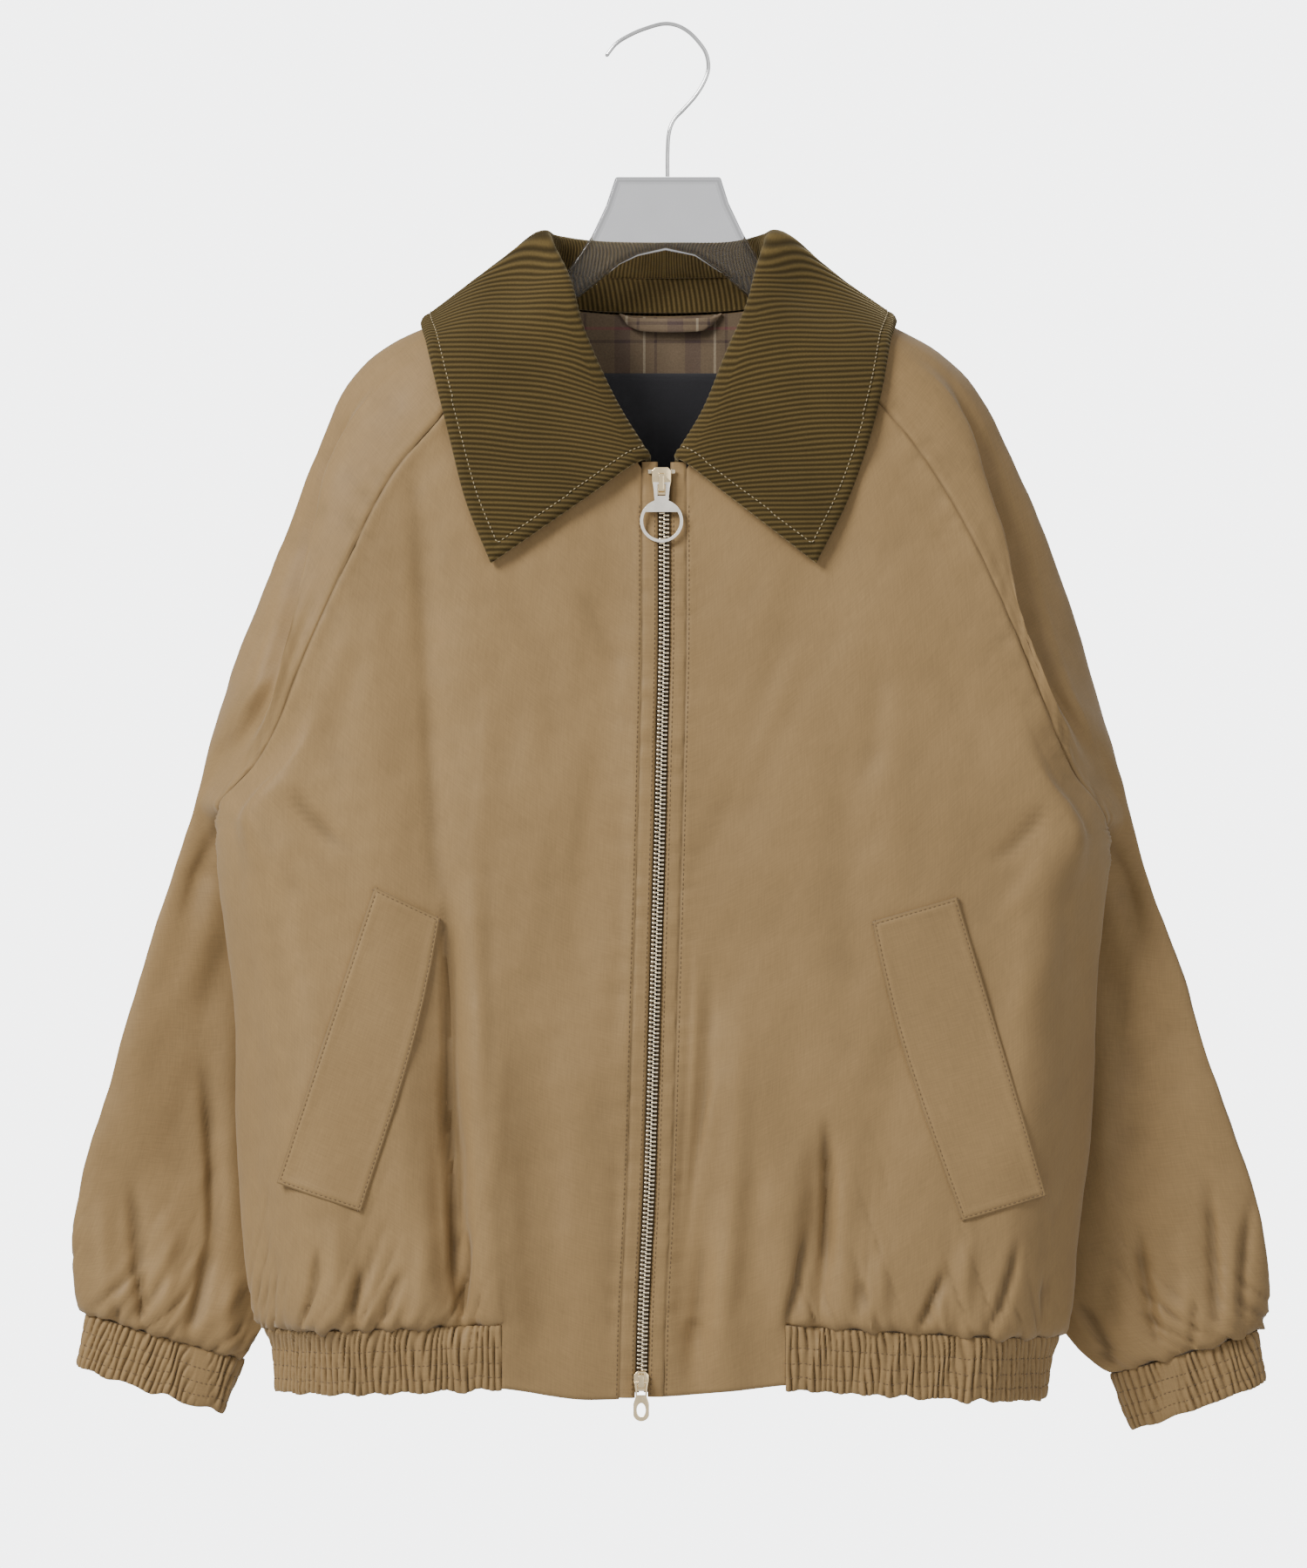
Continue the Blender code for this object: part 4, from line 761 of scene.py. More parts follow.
def ripple(at, size, seed):
    """An uneven wave along a line, with swells about so long, between about -1 and 1."""
    draw = np.random.RandomState(seed)
    total = np.zeros(np.shape(at))
    for _ in range(7):
        length = size * draw.uniform(0.65, 1.7)
        total = total + np.sin(2 * math.pi * np.asarray(at) / length + draw.uniform(0, 7))
    return total / 2.6


def lumps(p, size, seed):
    """Soft uneven swells in space, about so wide, between about -1 and 1."""
    draw = np.random.RandomState(seed)
    total = np.zeros(p.shape[:-1])
    for _ in range(14):
        way = draw.normal(size=3)
        way /= norm(way) * size * draw.uniform(0.7, 1.6)
        total = total + np.sin(2 * math.pi * (p @ way) + draw.uniform(0, 7))
    return total / 3.7


def crease_heights(rows, p):
    """How far a table of soft troughs and ridges moves a surface out."""
    total = np.zeros(p.shape[:-1])
    for x0, drop0, x1, drop1, bow, width, lean, height in rows:
        run = np.array((x1 - x0, drop1 - drop0), float)
        length = norm(run)
        away = p[..., (0, 2)] - np.array((x0, drop0))
        t = (away @ run) / length ** 2
        side = (away[..., 0] * run[1] - away[..., 1] * run[0]) / length
        side = side - bow * np.sin(math.pi * np.clip(t, 0, 1))
        fade = ease(-0.06, 0.34, t) * (1 - ease(0.66, 1.06, t))
        spread = width * np.where(side > 0, 1 + lean, 1 - lean)
        total += height * fade * bell(side, spread)
    return total


def seam_heights(away, at, seed, groove=0.8, pucker=0.5, reach=12.0, size=15.0):
    """The narrow groove along a seam and the small puckers that run off it."""
    dip = -groove * bell(away, 1.1) + 0.3 * groove * bell(away - 4, 2.5)
    return dip + pucker * np.exp(-away / reach) * ease(0, 1.5, away) * ripple(at, size, seed)


def gather_heights(away, at, seed, height=2.6, reach=22.0, size=13.0, blouse=4.5, full=34.0):
    """Cloth that blouses over a gathered seam and is drawn into it in narrow uneven folds."""
    line = ripple(at + 0.4 * away, 2 * size, seed)
    valleys = -bell(line, 0.42)
    waves = ripple(at + 0.12 * away, size, seed + 1) + 0.5 * ripple(at, size * 0.5, seed + 2)
    uneven = np.clip(1 + 0.9 * ripple(at, 52, seed + 3), 0.25, 2.3)
    swell = 1.6 * blouse * (1 - np.exp(-away / 4)) * np.exp(-away / full)
    held = np.exp(-away / (reach * uneven)) * (0.55 + 0.45 * ease(0, 4, away))
    return swell + height * (1.15 * valleys + 0.4 * waves) * held \
        - 1.8 * bell(away, 1.5)


def droop(low, at, seed, least=1.4, more=1.3):
    """How far the cloth hangs over its gathered seam, uneven along it."""
    return bell(low, 6.0) * (least + more * ripple(at, 17, seed))


def smoothed(a, rounds):
    """Heights evened out with their neighbours, so many times over."""
    for _ in range(rounds):
        b = np.pad(a, 1, mode="edge")
        a = (b[:-2, 1:-1] + b[2:, 1:-1] + b[1:-1, :-2] + b[1:-1, 2:] + 2 * a) / 6
    return a


def wall_mesh(outer, inner, uv, keep=None, closed_from=None):
    """A closed wall whose outer grid has two stretches for each one of its inner grid."""
    rows, cols = inner.shape[0] - 1, inner.shape[1] - 1
    wide = 2 * cols + 1
    base = outer.shape[0] * wide
    faces, edges = [], {}

    def o(i, j):
        return i * wide + j

    def n(i, j):
        return base + i * (cols + 1) + j

    def add_edges(ring):
        for start, end in zip(ring, ring[1:] + ring[:1]):
            edges[(start, end)] = True

    for i in range(rows):
        for j in range(cols):
            if keep is not None and not keep(i, j):
                continue
            for a in (2 * i, 2 * i + 1):
                for b in (2 * j, 2 * j + 1):
                    faces.append((o(a, b), o(a + 1, b), o(a + 1, b + 1), o(a, b + 1)))
            faces.append((n(i, j), n(i, j + 1), n(i + 1, j + 1), n(i + 1, j)))
            add_edges([(i, j), (i + 1, j), (i + 1, j + 1), (i, j + 1)])
        if closed_from is not None and i >= closed_from:
            last = 2 * cols
            for a in (2 * i, 2 * i + 1):
                faces.append((o(a, last), o(a + 1, last), o(a + 1, 0), o(a, 0)))
            faces.append((n(i, cols), n(i, 0), n(i + 1, 0), n(i + 1, cols)))
            add_edges([(i, cols), (i + 1, cols), (i + 1, 0), (i, 0)])
    for start, end in edges:
        if (end, start) in edges:
            continue
        a, b = o(2 * start[0], 2 * start[1]), o(2 * end[0], 2 * end[1])
        c, d = n(*start), n(*end)
        if abs(start[1] - end[1]) > 1:
            faces.append((b, a, c, d))
            continue
        m = o(start[0] + end[0], start[1] + end[1])
        faces += [(m, a, c), (m, c, d), (b, m, d)]
    verts = np.concatenate([outer.reshape(-1, 3), inner.reshape(-1, 3)])
    flat = np.concatenate([uv.reshape(-1, 2), uv[::2, ::2].reshape(-1, 2)])
    return verts, faces, flat


CLOTH_CRISP, HARD_CRISP = 60.0, 40.0    # edges that turn by more degrees than this stay crisp


def put(name, mesh, look, crisp_from=None):
    """The mesh as an object of the scene in one finish, smooth but for its crisp edges."""
    if crisp_from:
        mesh.shade_smooth()
        mesh.set_sharp_from_angle(angle=math.radians(crisp_from))
    mesh.materials.clear()
    mesh.materials.append(look)
    obj = bpy.data.objects.new(name, mesh)
    bpy.context.scene.collection.objects.link(obj)
    return obj


def make(name, verts, faces, look, uv=None, painted_shade=None):
    """A finished mesh object in the scene, with its own UV map and the painted shade of each point
    in its seams and creases.
    """
    v = np.array(verts, float) * (MM, MM, -MM)
    mesh = bpy.data.meshes.new(name)
    mesh.from_pydata(v.tolist(), [], faces)
    corner = np.zeros(len(mesh.loops), int)
    mesh.loops.foreach_get("vertex_index", corner)
    if uv is not None:
        layer = mesh.uv_layers.new(name="cloth")
        layer.data.foreach_set("uv", (uv[corner] * MM).astype(np.float32).ravel())
    # painted shade in seams and creases, kept as an attribute for the shell's colour
    if painted_shade is not None:
        made = mesh.attributes.new("painted_shade", "FLOAT", "POINT")
        made.data.foreach_set("value", np.clip(painted_shade, 0, 1).astype(np.float32))
    bm = bmesh.new()
    bm.from_mesh(mesh)
    loose = [p for p in bm.verts if not p.link_faces]
    bmesh.ops.delete(bm, geom=loose, context="VERTS")
    bmesh.ops.recalc_face_normals(bm, faces=bm.faces)
    bm.to_mesh(mesh)
    bm.free()
    return put(name, mesh, look, CLOTH_CRISP)


# The outer points and directions of each finished cloth piece, for what is sewn on it
SURFACES = {}


def cloth_piece(name, node, held, grid, heights, thickness, look, flip=False, uv=None, away=None,
                **how):
    """A fine wall of cloth for a node, raised off its form by heights, over a smoother inner face.

    away is how far each point lies from the nearest seam, where painted shade darkens the cloth.
    """
    n = directions(grid, flip)
    heights = np.broadcast_to(np.asarray(heights, float), grid.shape[:2])
    outer = grid + n * heights[..., None]
    inner = (grid + n * (np.minimum(heights, 0) - thickness)[..., None])[::2, ::2]
    if uv is None:
        uv = np.stack(lengths(grid), axis=2)
    verts, faces, flat = wall_mesh(outer, inner, uv, **how)
    SURFACES[name] = (outer, n)
    # painted shade: how much darker the colour is made in crease valleys and, through away, along
    # the grooves of seams
    painted_shade = 0.5 * np.clip((smoothed(heights, 10) - heights) / 1.3, 0, 1)
    if away is not None:
        painted_shade = np.maximum(painted_shade, 0.5 * bell(away, 0.8))
    whole = np.zeros(len(verts))
    whole[:heights.size] = painted_shade.ravel()
    settle_piece(make(name, verts, faces, look, flat, whole), node)


def settle_piece(obj, node, body="jacket"):
    """Puts a piece on its body and hides the node that it stands for."""
    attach(obj, body)
    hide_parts(node)


# Soft troughs and ridges of the fronts, on top of the largest folds
FRONT_CREASES = (
    # x0, drop0, x1, drop1, bow, half-width, lean, height
    (-156, 270, -146, 420, 2, 8, 0.3, -2.6), (-147, 380, -140, 560, 0, 6, 0.3, -2.2),
    (-136, 535, -134, 700, 2, 5, 0.5, -6.5), (-136, 640, -128, 800, 2, 5, 0.4, -7.0),
    (-119, 735, -125, 806, 1, 3, 0.2, -4.2), (-119, 500, -115, 700, 3, 8, -0.3, 2.8),
    (-115, 660, -107, 806, -2, 7, 0, 3.2), (-128, 560, -124, 700, 0, 5, 0, 1.2),
    (-228, 560, -206, 700, 6, 13, 0, 1.8), (-246, 520, -232, 640, 0, 8, 0.2, -1.6),
    (-212, 752, -222, 808, 2, 3, 0.3, -4.0), (-184, 764, -190, 808, -1, 3, 0, -3.6),
    (-158, 764, -172, 806, -3, 3, 0.2, -3.4), (-200, 735, -204, 806, 2, 6, 0, 1.9),
    (-148, 745, -152, 806, 1, 5, 0.2, 2.0), (-108, 400, -118, 520, 3, 7, 0.2, 1.3),
    (-95, 345, -62, 470, 8, 15, 0.2, -1.8), (-52, 345, -22, 410, 0, 8, 0.2, -1.5),
    (-44, 380, -56, 560, -4, 13, 0.2, 1.3), (-84, 560, -76, 790, 5, 16, 0, -1.7),
    (-48, 600, -52, 815, -5, 11, 0.2, 1.5), (-26, 430, -32, 640, 2, 7, 0, -1.2),
    (-30, 690, -34, 840, 2, 6, 0, -1.5), (20, 560, 10, 760, 2, 4, 0.4, 2.0),
    (34, 640, 16, 765, -2, 4, 0.3, 1.9), (27, 580, 17, 720, 2, 5, 0, -2.0),
    (24, 735, 14, 845, 1, 5, 0.2, -2.6), (36, 735, 28, 838, 2, 6, 0, 1.6),
    (98, 672, 96, 775, 2, 4, 0.3, -5.0), (86, 740, 74, 806, 1, 3, 0.2, -4.2),
    (108, 690, 110, 800, 1, 7, 0, 2.2), (84, 340, 14, 545, 6, 15, 0.3, -2.2),
    (86, 372, 30, 500, 4, 10, -0.2, 1.6), (104, 410, 110, 660, 4, 13, 0, -2.1),
    (131, 380, 120, 480, 4, 9, 0, -1.6), (144, 400, 142, 560, -4, 12, 0, 1.5),
    (160, 390, 196, 470, 6, 10, 0, -1.4), (62, 560, 54, 740, 3, 13, 0, 1.5),
    (52, 690, 50, 800, 3, 9, 0, -1.7), (172, 764, 152, 808, 1, 3, 0.2, -4.2),
    (216, 748, 196, 808, 2, 3, 0.2, -4.4), (190, 740, 178, 804, -2, 6, 0, 2.0),
    (134, 750, 124, 804, 2, 6, 0, 1.9), (120, 772, 116, 804, 0, 4, 0, -2.2),
    (236, 770, 226, 812, 0, 4, 0, -2.2), (232, 560, 214, 700, -6, 13, 0, 1.7),
    (250, 510, 240, 640, 0, 8, -0.2, -1.6), (-180, 380, -205, 470, -5, 10, 0, -1.4),
    (-232, 470, -190, 512, -4, 5, 0.2, -1.9), (-238, 488, -200, 545, -4, 6, 0, 1.6),
    (236, 478, 196, 520, 4, 5, -0.2, -1.9), (240, 498, 204, 556, 4, 6, 0, 1.6),
)
BACK_CREASES = (
    (-60, 230, -110, 420, 8, 14, 0, -1.4), (62, 230, 108, 430, -8, 14, 0, -1.4),
    (-10, 300, -20, 520, 6, 18, 0, 1.3), (-170, 400, -120, 520, 8, 10, 0.2, -2.0),
    (168, 408, 122, 530, -8, 10, -0.2, -2.0), (-150, 520, -165, 700, 6, 9, 0.2, -2.2),
    (-128, 560, -140, 780, -5, 9, 0, 1.8), (-60, 600, -72, 800, 6, 8, 0.2, -2.2),
    (-30, 640, -34, 800, 3, 7, 0, 1.7), (22, 560, 14, 790, 6, 9, 0.3, -2.0),
    (50, 650, 58, 800, -4, 8, 0, 1.8), (100, 590, 112, 790, -5, 8, -0.2, -2.3),
    (140, 540, 150, 720, 6, 10, 0, 1.6), (-188, 700, -182, 800, 2, 6, 0, -1.9),
    (186, 690, 178, 800, -2, 6, 0, -1.9), (-92, 745, -88, 800, 2, 5, 0, -1.9),
    (78, 750, 84, 800, 2, 5, 0, -1.9),
)
SLEEVE_FRONT_CREASES = (
    (-210, 300, -262, 430, 8, 13, 0, -1.2), (-232, 330, -282, 470, 8, 13, 0.2, 1.0),
    (-262, 478, -300, 560, -6, 7, 0.3, -1.8), (-270, 500, -312, 620, 6, 10, 0, 1.5),
    (-268, 560, -292, 660, -4, 10, 0.2, -1.4), (-326, 600, -338, 720, 4, 12, 0, 1.2),
    (-300, 600, -306, 720, 4, 12, 0, -1.2), (-270, 600, -268, 770, 0, 9, 0, 2.0),
    (-332, 715, -328, 800, 2, 5, 0.3, -3.2), (-327, 770, -325, 814, 1, 3, 0.3, -3.6),
    (-348, 725, -344, 805, -2, 6, 0, 1.9), (-310, 735, -312, 815, 2, 7, 0, 2.2),
    (-287, 640, -282, 775, 3, 5, 0.3, -3.6), (-283, 755, -298, 818, 2, 4, 0, -4.2),
    (-266, 770, -274, 826, -2, 5, 0, 2.0), (-340, 790, -338, 816, 0, 3, 0, -2.6),
    (206, 300, 250, 420, -8, 13, 0, -1.2), (226, 330, 272, 460, -8, 13, -0.2, 1.0),
    (262, 486, 296, 565, 6, 7, -0.3, -1.8), (270, 505, 306, 610, -6, 10, 0, 1.5),
    (268, 570, 290, 670, 6, 10, 0, -1.4), (330, 610, 340, 720, -4, 12, 0, 1.2),
    (302, 620, 300, 740, -6, 12, 0.2, -1.3), (276, 640, 282, 780, -4, 9, 0, 1.7),
    (294, 745, 310, 826, -2, 4, 0, -4.2), (338, 715, 342, 818, 2, 4, -0.2, -3.8),
    (366, 725, 358, 812, -2, 4, 0, -3.0), (322, 745, 326, 820, 2, 7, 0, 2.2),
    (353, 735, 351, 812, 1, 6, 0, 2.0), (256, 790, 282, 836, 2, 4, 0, -3.2),
    (282, 768, 292, 826, 2, 6, 0, 1.8), (330, 785, 328, 824, 0, 3, 0, -2.6),
)
SLEEVE_BACK_CREASES = (
    (-190, 300, -240, 450, 8, 14, 0, -1.6), (-220, 480, -290, 570, 8, 9, 0.2, -2.4),
    (-226, 520, -300, 640, -6, 10, 0, 2.0), (-240, 620, -310, 700, 6, 9, 0.2, -2.2),
    (-270, 700, -262, 800, 4, 7, 0, -2.2), (-320, 690, -326, 800, 3, 8, 0, 1.8),
    (-300, 740, -302, 815, -2, 6, 0, -2.2), (188, 300, 236, 450, -8, 14, 0, -1.6),
    (218, 490, 286, 580, -8, 9, -0.2, -2.4), (226, 530, 298, 650, 6, 10, 0, 2.0),
    (242, 630, 306, 710, -6, 9, -0.2, -2.2), (276, 710, 270, 810, -4, 7, 0, -2.2),
    (326, 690, 332, 800, -3, 8, 0, 1.8), (304, 745, 308, 820, 2, 6, 0, -2.2),
)
QUIET = 0.7             # the soft lumps of the padding
AS_WORN = 1.15          # how much deeper the folds of the back and the sleeves are
FRONT_SEED = {LEFT: 11, RIGHT: 31}      # where the uneven waves of a piece are drawn from
SLEEVE_SEED = {LEFT: 71, RIGHT: 91}


def shell_lumps(p, seed):
    return QUIET * lumps(p, 75, seed) + 0.22 * lumps(p, 24, seed + 1)


def side_word(side):
    return "left" if side == LEFT else "right"


def front_piece(side, look):
    coarse = front_grid(side, BODY_FINE, ARM_FINE, FRONT_FINE, TURNED_FINE)
    grid = crowded(finer(coarse, BETWEEN, 8), FRONT_POINTS)
    start = BAND_START[side]
    last = 2 * int(round(np.argmin(abs(grid[-1, :, 0] - start)) / 2))
    shift = (start - grid[-1, last, 0]) * bell(np.arange(grid.shape[1]) - last, 6.0)
    grid[-1, :, 0] += shift
    body = grid.shape[0] - 1
    more = []
    for k in range(1, 2 * CENTRE_FINE + 1):
        row = grid[-1].copy()
        for j in range(last + 1):
            x = row[j, 0]
            drop = mix(row[j, 2], centre_hem(x), 1 - (1 - k / (2 * CENTRE_FINE)) ** 1.5)
            x += (zip_x(drop) - zip_x(row[j, 2])) * (1 - j / last)
            row[j] = (x, front_y(x, drop), drop)
        more.append(row)
    whole = np.concatenate([grid, np.array(more)])
    across, down = lengths(whole)
    away = across[:, -1:] - across
    low = np.maximum(down[body] - down, 0)
    banded = ease(-1, 14, side * (whole[..., 0] - start))
    seed = FRONT_SEED[side]
    whole[..., 2] += banded * droop(low, across, seed + 8)
    h = shell_lumps(whole, seed) + crease_heights(FRONT_CREASES, whole)
    h = h + seam_heights(away, down, seed + 2)
    h = h + seam_heights(across, down, seed + 3, groove=0.5, pucker=0.3, reach=9)
    h = h + banded * gather_heights(low, across, seed + 4)
    h = h * (1 - 0.6 * ease(body, body + 8, np.arange(len(whole)))[:, None])
    h[body:, last + 1:] = h[body, last + 1:]
    ends = np.maximum(down[-1:] - down, 0)
    h = h + (0.5 * ripple(across, 38, seed + 6) - 1.1 * bell(ends, 1.2)) \
        * (1 - banded) * bell(ends, 26)
    name = "front_" + side_word(side)
    cloth_piece(name + "_shell", name, "hung", whole, h, SHELL, look, side == LEFT,
                away=np.minimum(away, across), keep=lambda i, j: 2 * i < body or 2 * j < last)


def back_piece(look):
    coarse = back_grid(BODY_FINE, ARM_FINE, BACK_FINE)
    grid = crowded(finer(coarse, BETWEEN, 8), BACK_POINTS)
    across, down = lengths(grid)
    low = down[-1:] - down
    grid[..., 2] += droop(low, across, 58)
    h = shell_lumps(grid, 51) + AS_WORN * crease_heights(BACK_CREASES, grid)
    h = h + seam_heights(across, down, 52) + seam_heights(across[:, -1:] - across, down, 53)
    h = h + seam_heights(down, across, 54, pucker=0.3)
    h = h + gather_heights(low, across, 55)
    away = from_sides(across)
    cloth_piece("back_shell", "back", "hung", grid, h, SHELL, look, True, away=away)


def sleeve_piece(side, look):
    coarse = sleeve_grid(side, ARM_FINE, SLEEVE_FINE, SLEEVE_STEPS)
    tall = finer(coarse, BETWEEN, 8)
    seamed = 1 - ease(ARM_FINE - 6, ARM_FINE - 1, np.arange(len(tall)) / BETWEEN)
    grid = crowded(tall, BETWEEN * (coarse.shape[1] - 1) + 1, by_row=seamed)
    n = directions(grid, side == LEFT)
    across, down = lengths(grid)
    low = down[-1:] - down
    open_part = 1 - ease(ARM_FINE - 2, ARM_FINE + 1, np.arange(len(grid)) / BETWEEN)[:, None]
    front = ease(0.3, 0.85, -n[..., 1])
    behind = ease(0.3, 0.85, n[..., 1])
    seed = SLEEVE_SEED[side]
    grid[..., 2] += droop(low, across, seed + 8)
    h = shell_lumps(grid, seed)
    h = h + AS_WORN * front * crease_heights(SLEEVE_FRONT_CREASES, grid)
    h = h + AS_WORN * behind * crease_heights(SLEEVE_BACK_CREASES, grid)
    h = h + open_part * seam_heights(across, down, seed + 2)
    h = h + open_part * seam_heights(across[:, -1:] - across, down, seed + 3)
    h = h + gather_heights(low, across, seed + 4, height=2.8)
    name = "sleeve_" + side_word(side)
    away = from_sides(across) + 9 * (1 - open_part)
    cloth_piece(name + "_shell", name, "hung", grid, h, SHELL, look, side == LEFT, away=away,
                closed_from=ARM_FINE * BETWEEN // 2)


# ---- gathered bands

RIB = 4.1               # how long one fine gather of a band is
CHANNELS = (0.0, 0.33, 0.57, 0.79, 1.0)     # the rows of stitches across a band
BAND_FINE = 28
CUFF_FINE = 61
CUFF_SEAM = {LEFT: -288.0, RIGHT: 315.0}        # where the plain stretch of a cuff is


def band_heights(at, share, seed, height=1.9):
    """The ruched face of an elastic band: uneven upright folds over its whole height."""
    sway = 1.5 * ripple(at, 36, seed) + 0.9 * ripple(at + 18 * share, 21, seed + 1)
    fold = 1 - bell(np.sin(math.pi * at / RIB + 0.5 * sway), 0.55)
    uneven = np.clip(1 + 0.45 * ripple(at + 12 * share, 11, seed + 2), 0.35, 1.6)
    rows = np.array(CHANNELS[1:-1])
    pinch = bell(share[..., None] - rows, 0.03).sum(axis=-1)
    bowed = 0.5 * ripple(at, 60, seed + 3) * np.sin(math.pi * share)
    return height * (fold - 0.5) * uneven * (1 - 0.2 * pinch) - 0.22 * pinch + bowed + 0.3


def band_piece(name, coarse, seed, look, flip, plain=None, **how):
    grid = finer(coarse, BETWEEN, 6)
    across, down = lengths(grid)
    share = down / down[-1:]
    grid[..., 2] += 0.9 * ripple(across, 21, seed + 5) * share
    h = band_heights(across, share, seed)
    if plain is not None:
        h = mix(h, 0.5, plain(grid))
    ends = np.minimum(down[-1:] - down, down)
    h = h - 0.8 * bell(ends, 1.3)
    cloth_piece(name + "_ruched", name, "gathered", grid, h, BAND_WALL, look, flip, **how)


def band_pieces(look):
    shares = np.linspace(0, 1, BAND_FINE // BETWEEN + 1)
    for side in (LEFT, RIGHT):
        start = BAND_START[side] + side * 0.2
        rows = []
        for t in shares:
            at_zip = mix(BAND_TOP_AT[side][0], BAND_END_AT[side][0], t)
            seam = mix(BAND_TOP_AT[side][1], BAND_END_AT[side][1], t)
            length = abs(edge_x(side, seam) - start) + WRAP + 10
            if t == 0:
                cols = 2 * round(length / 8) + 1
                turned = 2 * round(0.42 * (cols - 1) / 2)
            rows.append(front_row(side, start, seam, at_zip - seam, cols, 1.0, turned))
        band_piece("hem_band_" + side_word(side), np.array(rows), 120 + side, look, side == LEFT)
    left, right = (side_seam(s, BAND_TOP_AT[s][1])[0] for s in (LEFT, RIGHT))
    cols = 2 * round((right - left) / 8) + 1
    ends = [(BAND_TOP_AT[s][1], BAND_END_AT[s][1]) for s in (LEFT, RIGHT)]
    rows = [back_row(mix(*ends[0], t), mix(*ends[1], t), HEM_ARCH, cols) for t in shares]
    band_piece("hem_band_back", np.array(rows), 130, look, True)
    for side, seam in CUFF_SEAM.items():
        rows = np.array([cuff_ring(side, t, CUFF_FINE) for t in shares])

        def plain(grid, seam=seam):
            near = np.exp(-((grid[..., 0] - seam) / 6.0) ** 4)
            return near * (grid[..., 1] < form(1, 1) + 4)

        band_piece("cuff_" + side_word(side), rows, 140 + side, look, side == LEFT, plain,
                   closed_from=0)


# ---- collar

COLLAR_STEPS = (10, 10, 5, 10, 10, 10, 5, 10, 10, 10, 5, 10, 10, 10, 5, 10, 10)
FALL_STEPS = (2, 2, 2, 8, 9, 9)
WALE = 3.1
WALE_HIGH = 0.46
WALE_SAG = 13.0         # how far the wales sag towards the fold
LEAF_FROM = 0.19        # the share across the collar at which the leaves start
LEAF_STITCH = 7.5       # how far in from the leaf's edge its stitches run


def wale_phase(fall):
    """Which wale of the corduroy each point is on: upright at the back, level on the leaves."""
    rows, cols = fall.shape[:2]
    centre = cols // 2
    beyond = np.clip(np.linspace(0, 1, rows) - LEAF_FROM, 0, 1) / (1 - LEAF_FROM)
    share = abs(np.arange(cols) - centre) / centre
    leaf = ease(0.34, 0.56, share)
    sag = WALE_SAG * ease(0.6, 0.85, share)
    height = fall[..., 2] - sag * np.exp(-beyond / 0.35)[:, None]
    level = fall[rows // 2]
    step = norm(np.diff(level, axis=0), axis=1)
    fallen = abs(np.diff(height[rows // 2]))
    between = 0.5 * (leaf[1:] + leaf[:-1])
    run = np.concatenate([[0], np.cumsum(mix(step, fallen, between))])
    run = abs(run - run[centre])
    return (run[None] + leaf[None] * (height - height[None, rows // 2])) / WALE


def wale_heights(phase):
    wave = abs(np.sin(math.pi * phase))
    return WALE_HIGH * (wave ** 0.7 - 0.5)


def collar_pieces(look):
    fall, stand = collar_grids(COLLAR_STEPS, FALL_STEPS, 4)
    fall = finer(fall.transpose(1, 0, 2), 3, 5)
    fall = fall + directions(fall, True) * CORDUROY
    phase = wale_phase(fall)
    across, down = lengths(fall)
    edge = down[-1:] - down
    front_end = from_sides(across)
    rim = np.minimum(edge, front_end)
    phase = phase + 0.16 * lumps(fall, 34, 163)
    h = wale_heights(phase) + 0.9 * lumps(fall, 62, 161)
    h = h - 1.2 * bell(rim, 1.3) - 0.45 * bell(rim - LEAF_STITCH, 1.0)
    h = h + 0.4 * bell(rim - 4.0, 2.2)
    uv = np.stack([phase * WALE, down], axis=2)
    SURFACES["collar_rim"] = (edge, front_end)
    cloth_piece("collar_fall_corduroy", "collar_fall", "folded", fall, h, CORDUROY, look, True, uv)
    stand = finer(stand.transpose(1, 0, 2), 4, 4)
    stand = stand + directions(stand) * CORDUROY
    across, down = lengths(stand)
    h = wale_heights(across / WALE) * 0.8 - 0.8 * bell(down, 1.6)
    cloth_piece("collar_stand_corduroy", "collar_stand", "hung", stand, h, CORDUROY, look, False,
                np.stack([across, down], axis=2))


# ---- inside the neck


def pulled_in(grid, top, sides):
    g = grid.copy()
    pulls = ((g[0], g[1], top), (g[:, 0], g[:, 1], sides), (g[:, -1], g[:, -2], sides))
    for a, b, amount in pulls:
        way = b - a
        a += way / np.maximum(norm(way, axis=-1, keepdims=True), 1e-6) * amount
    return g


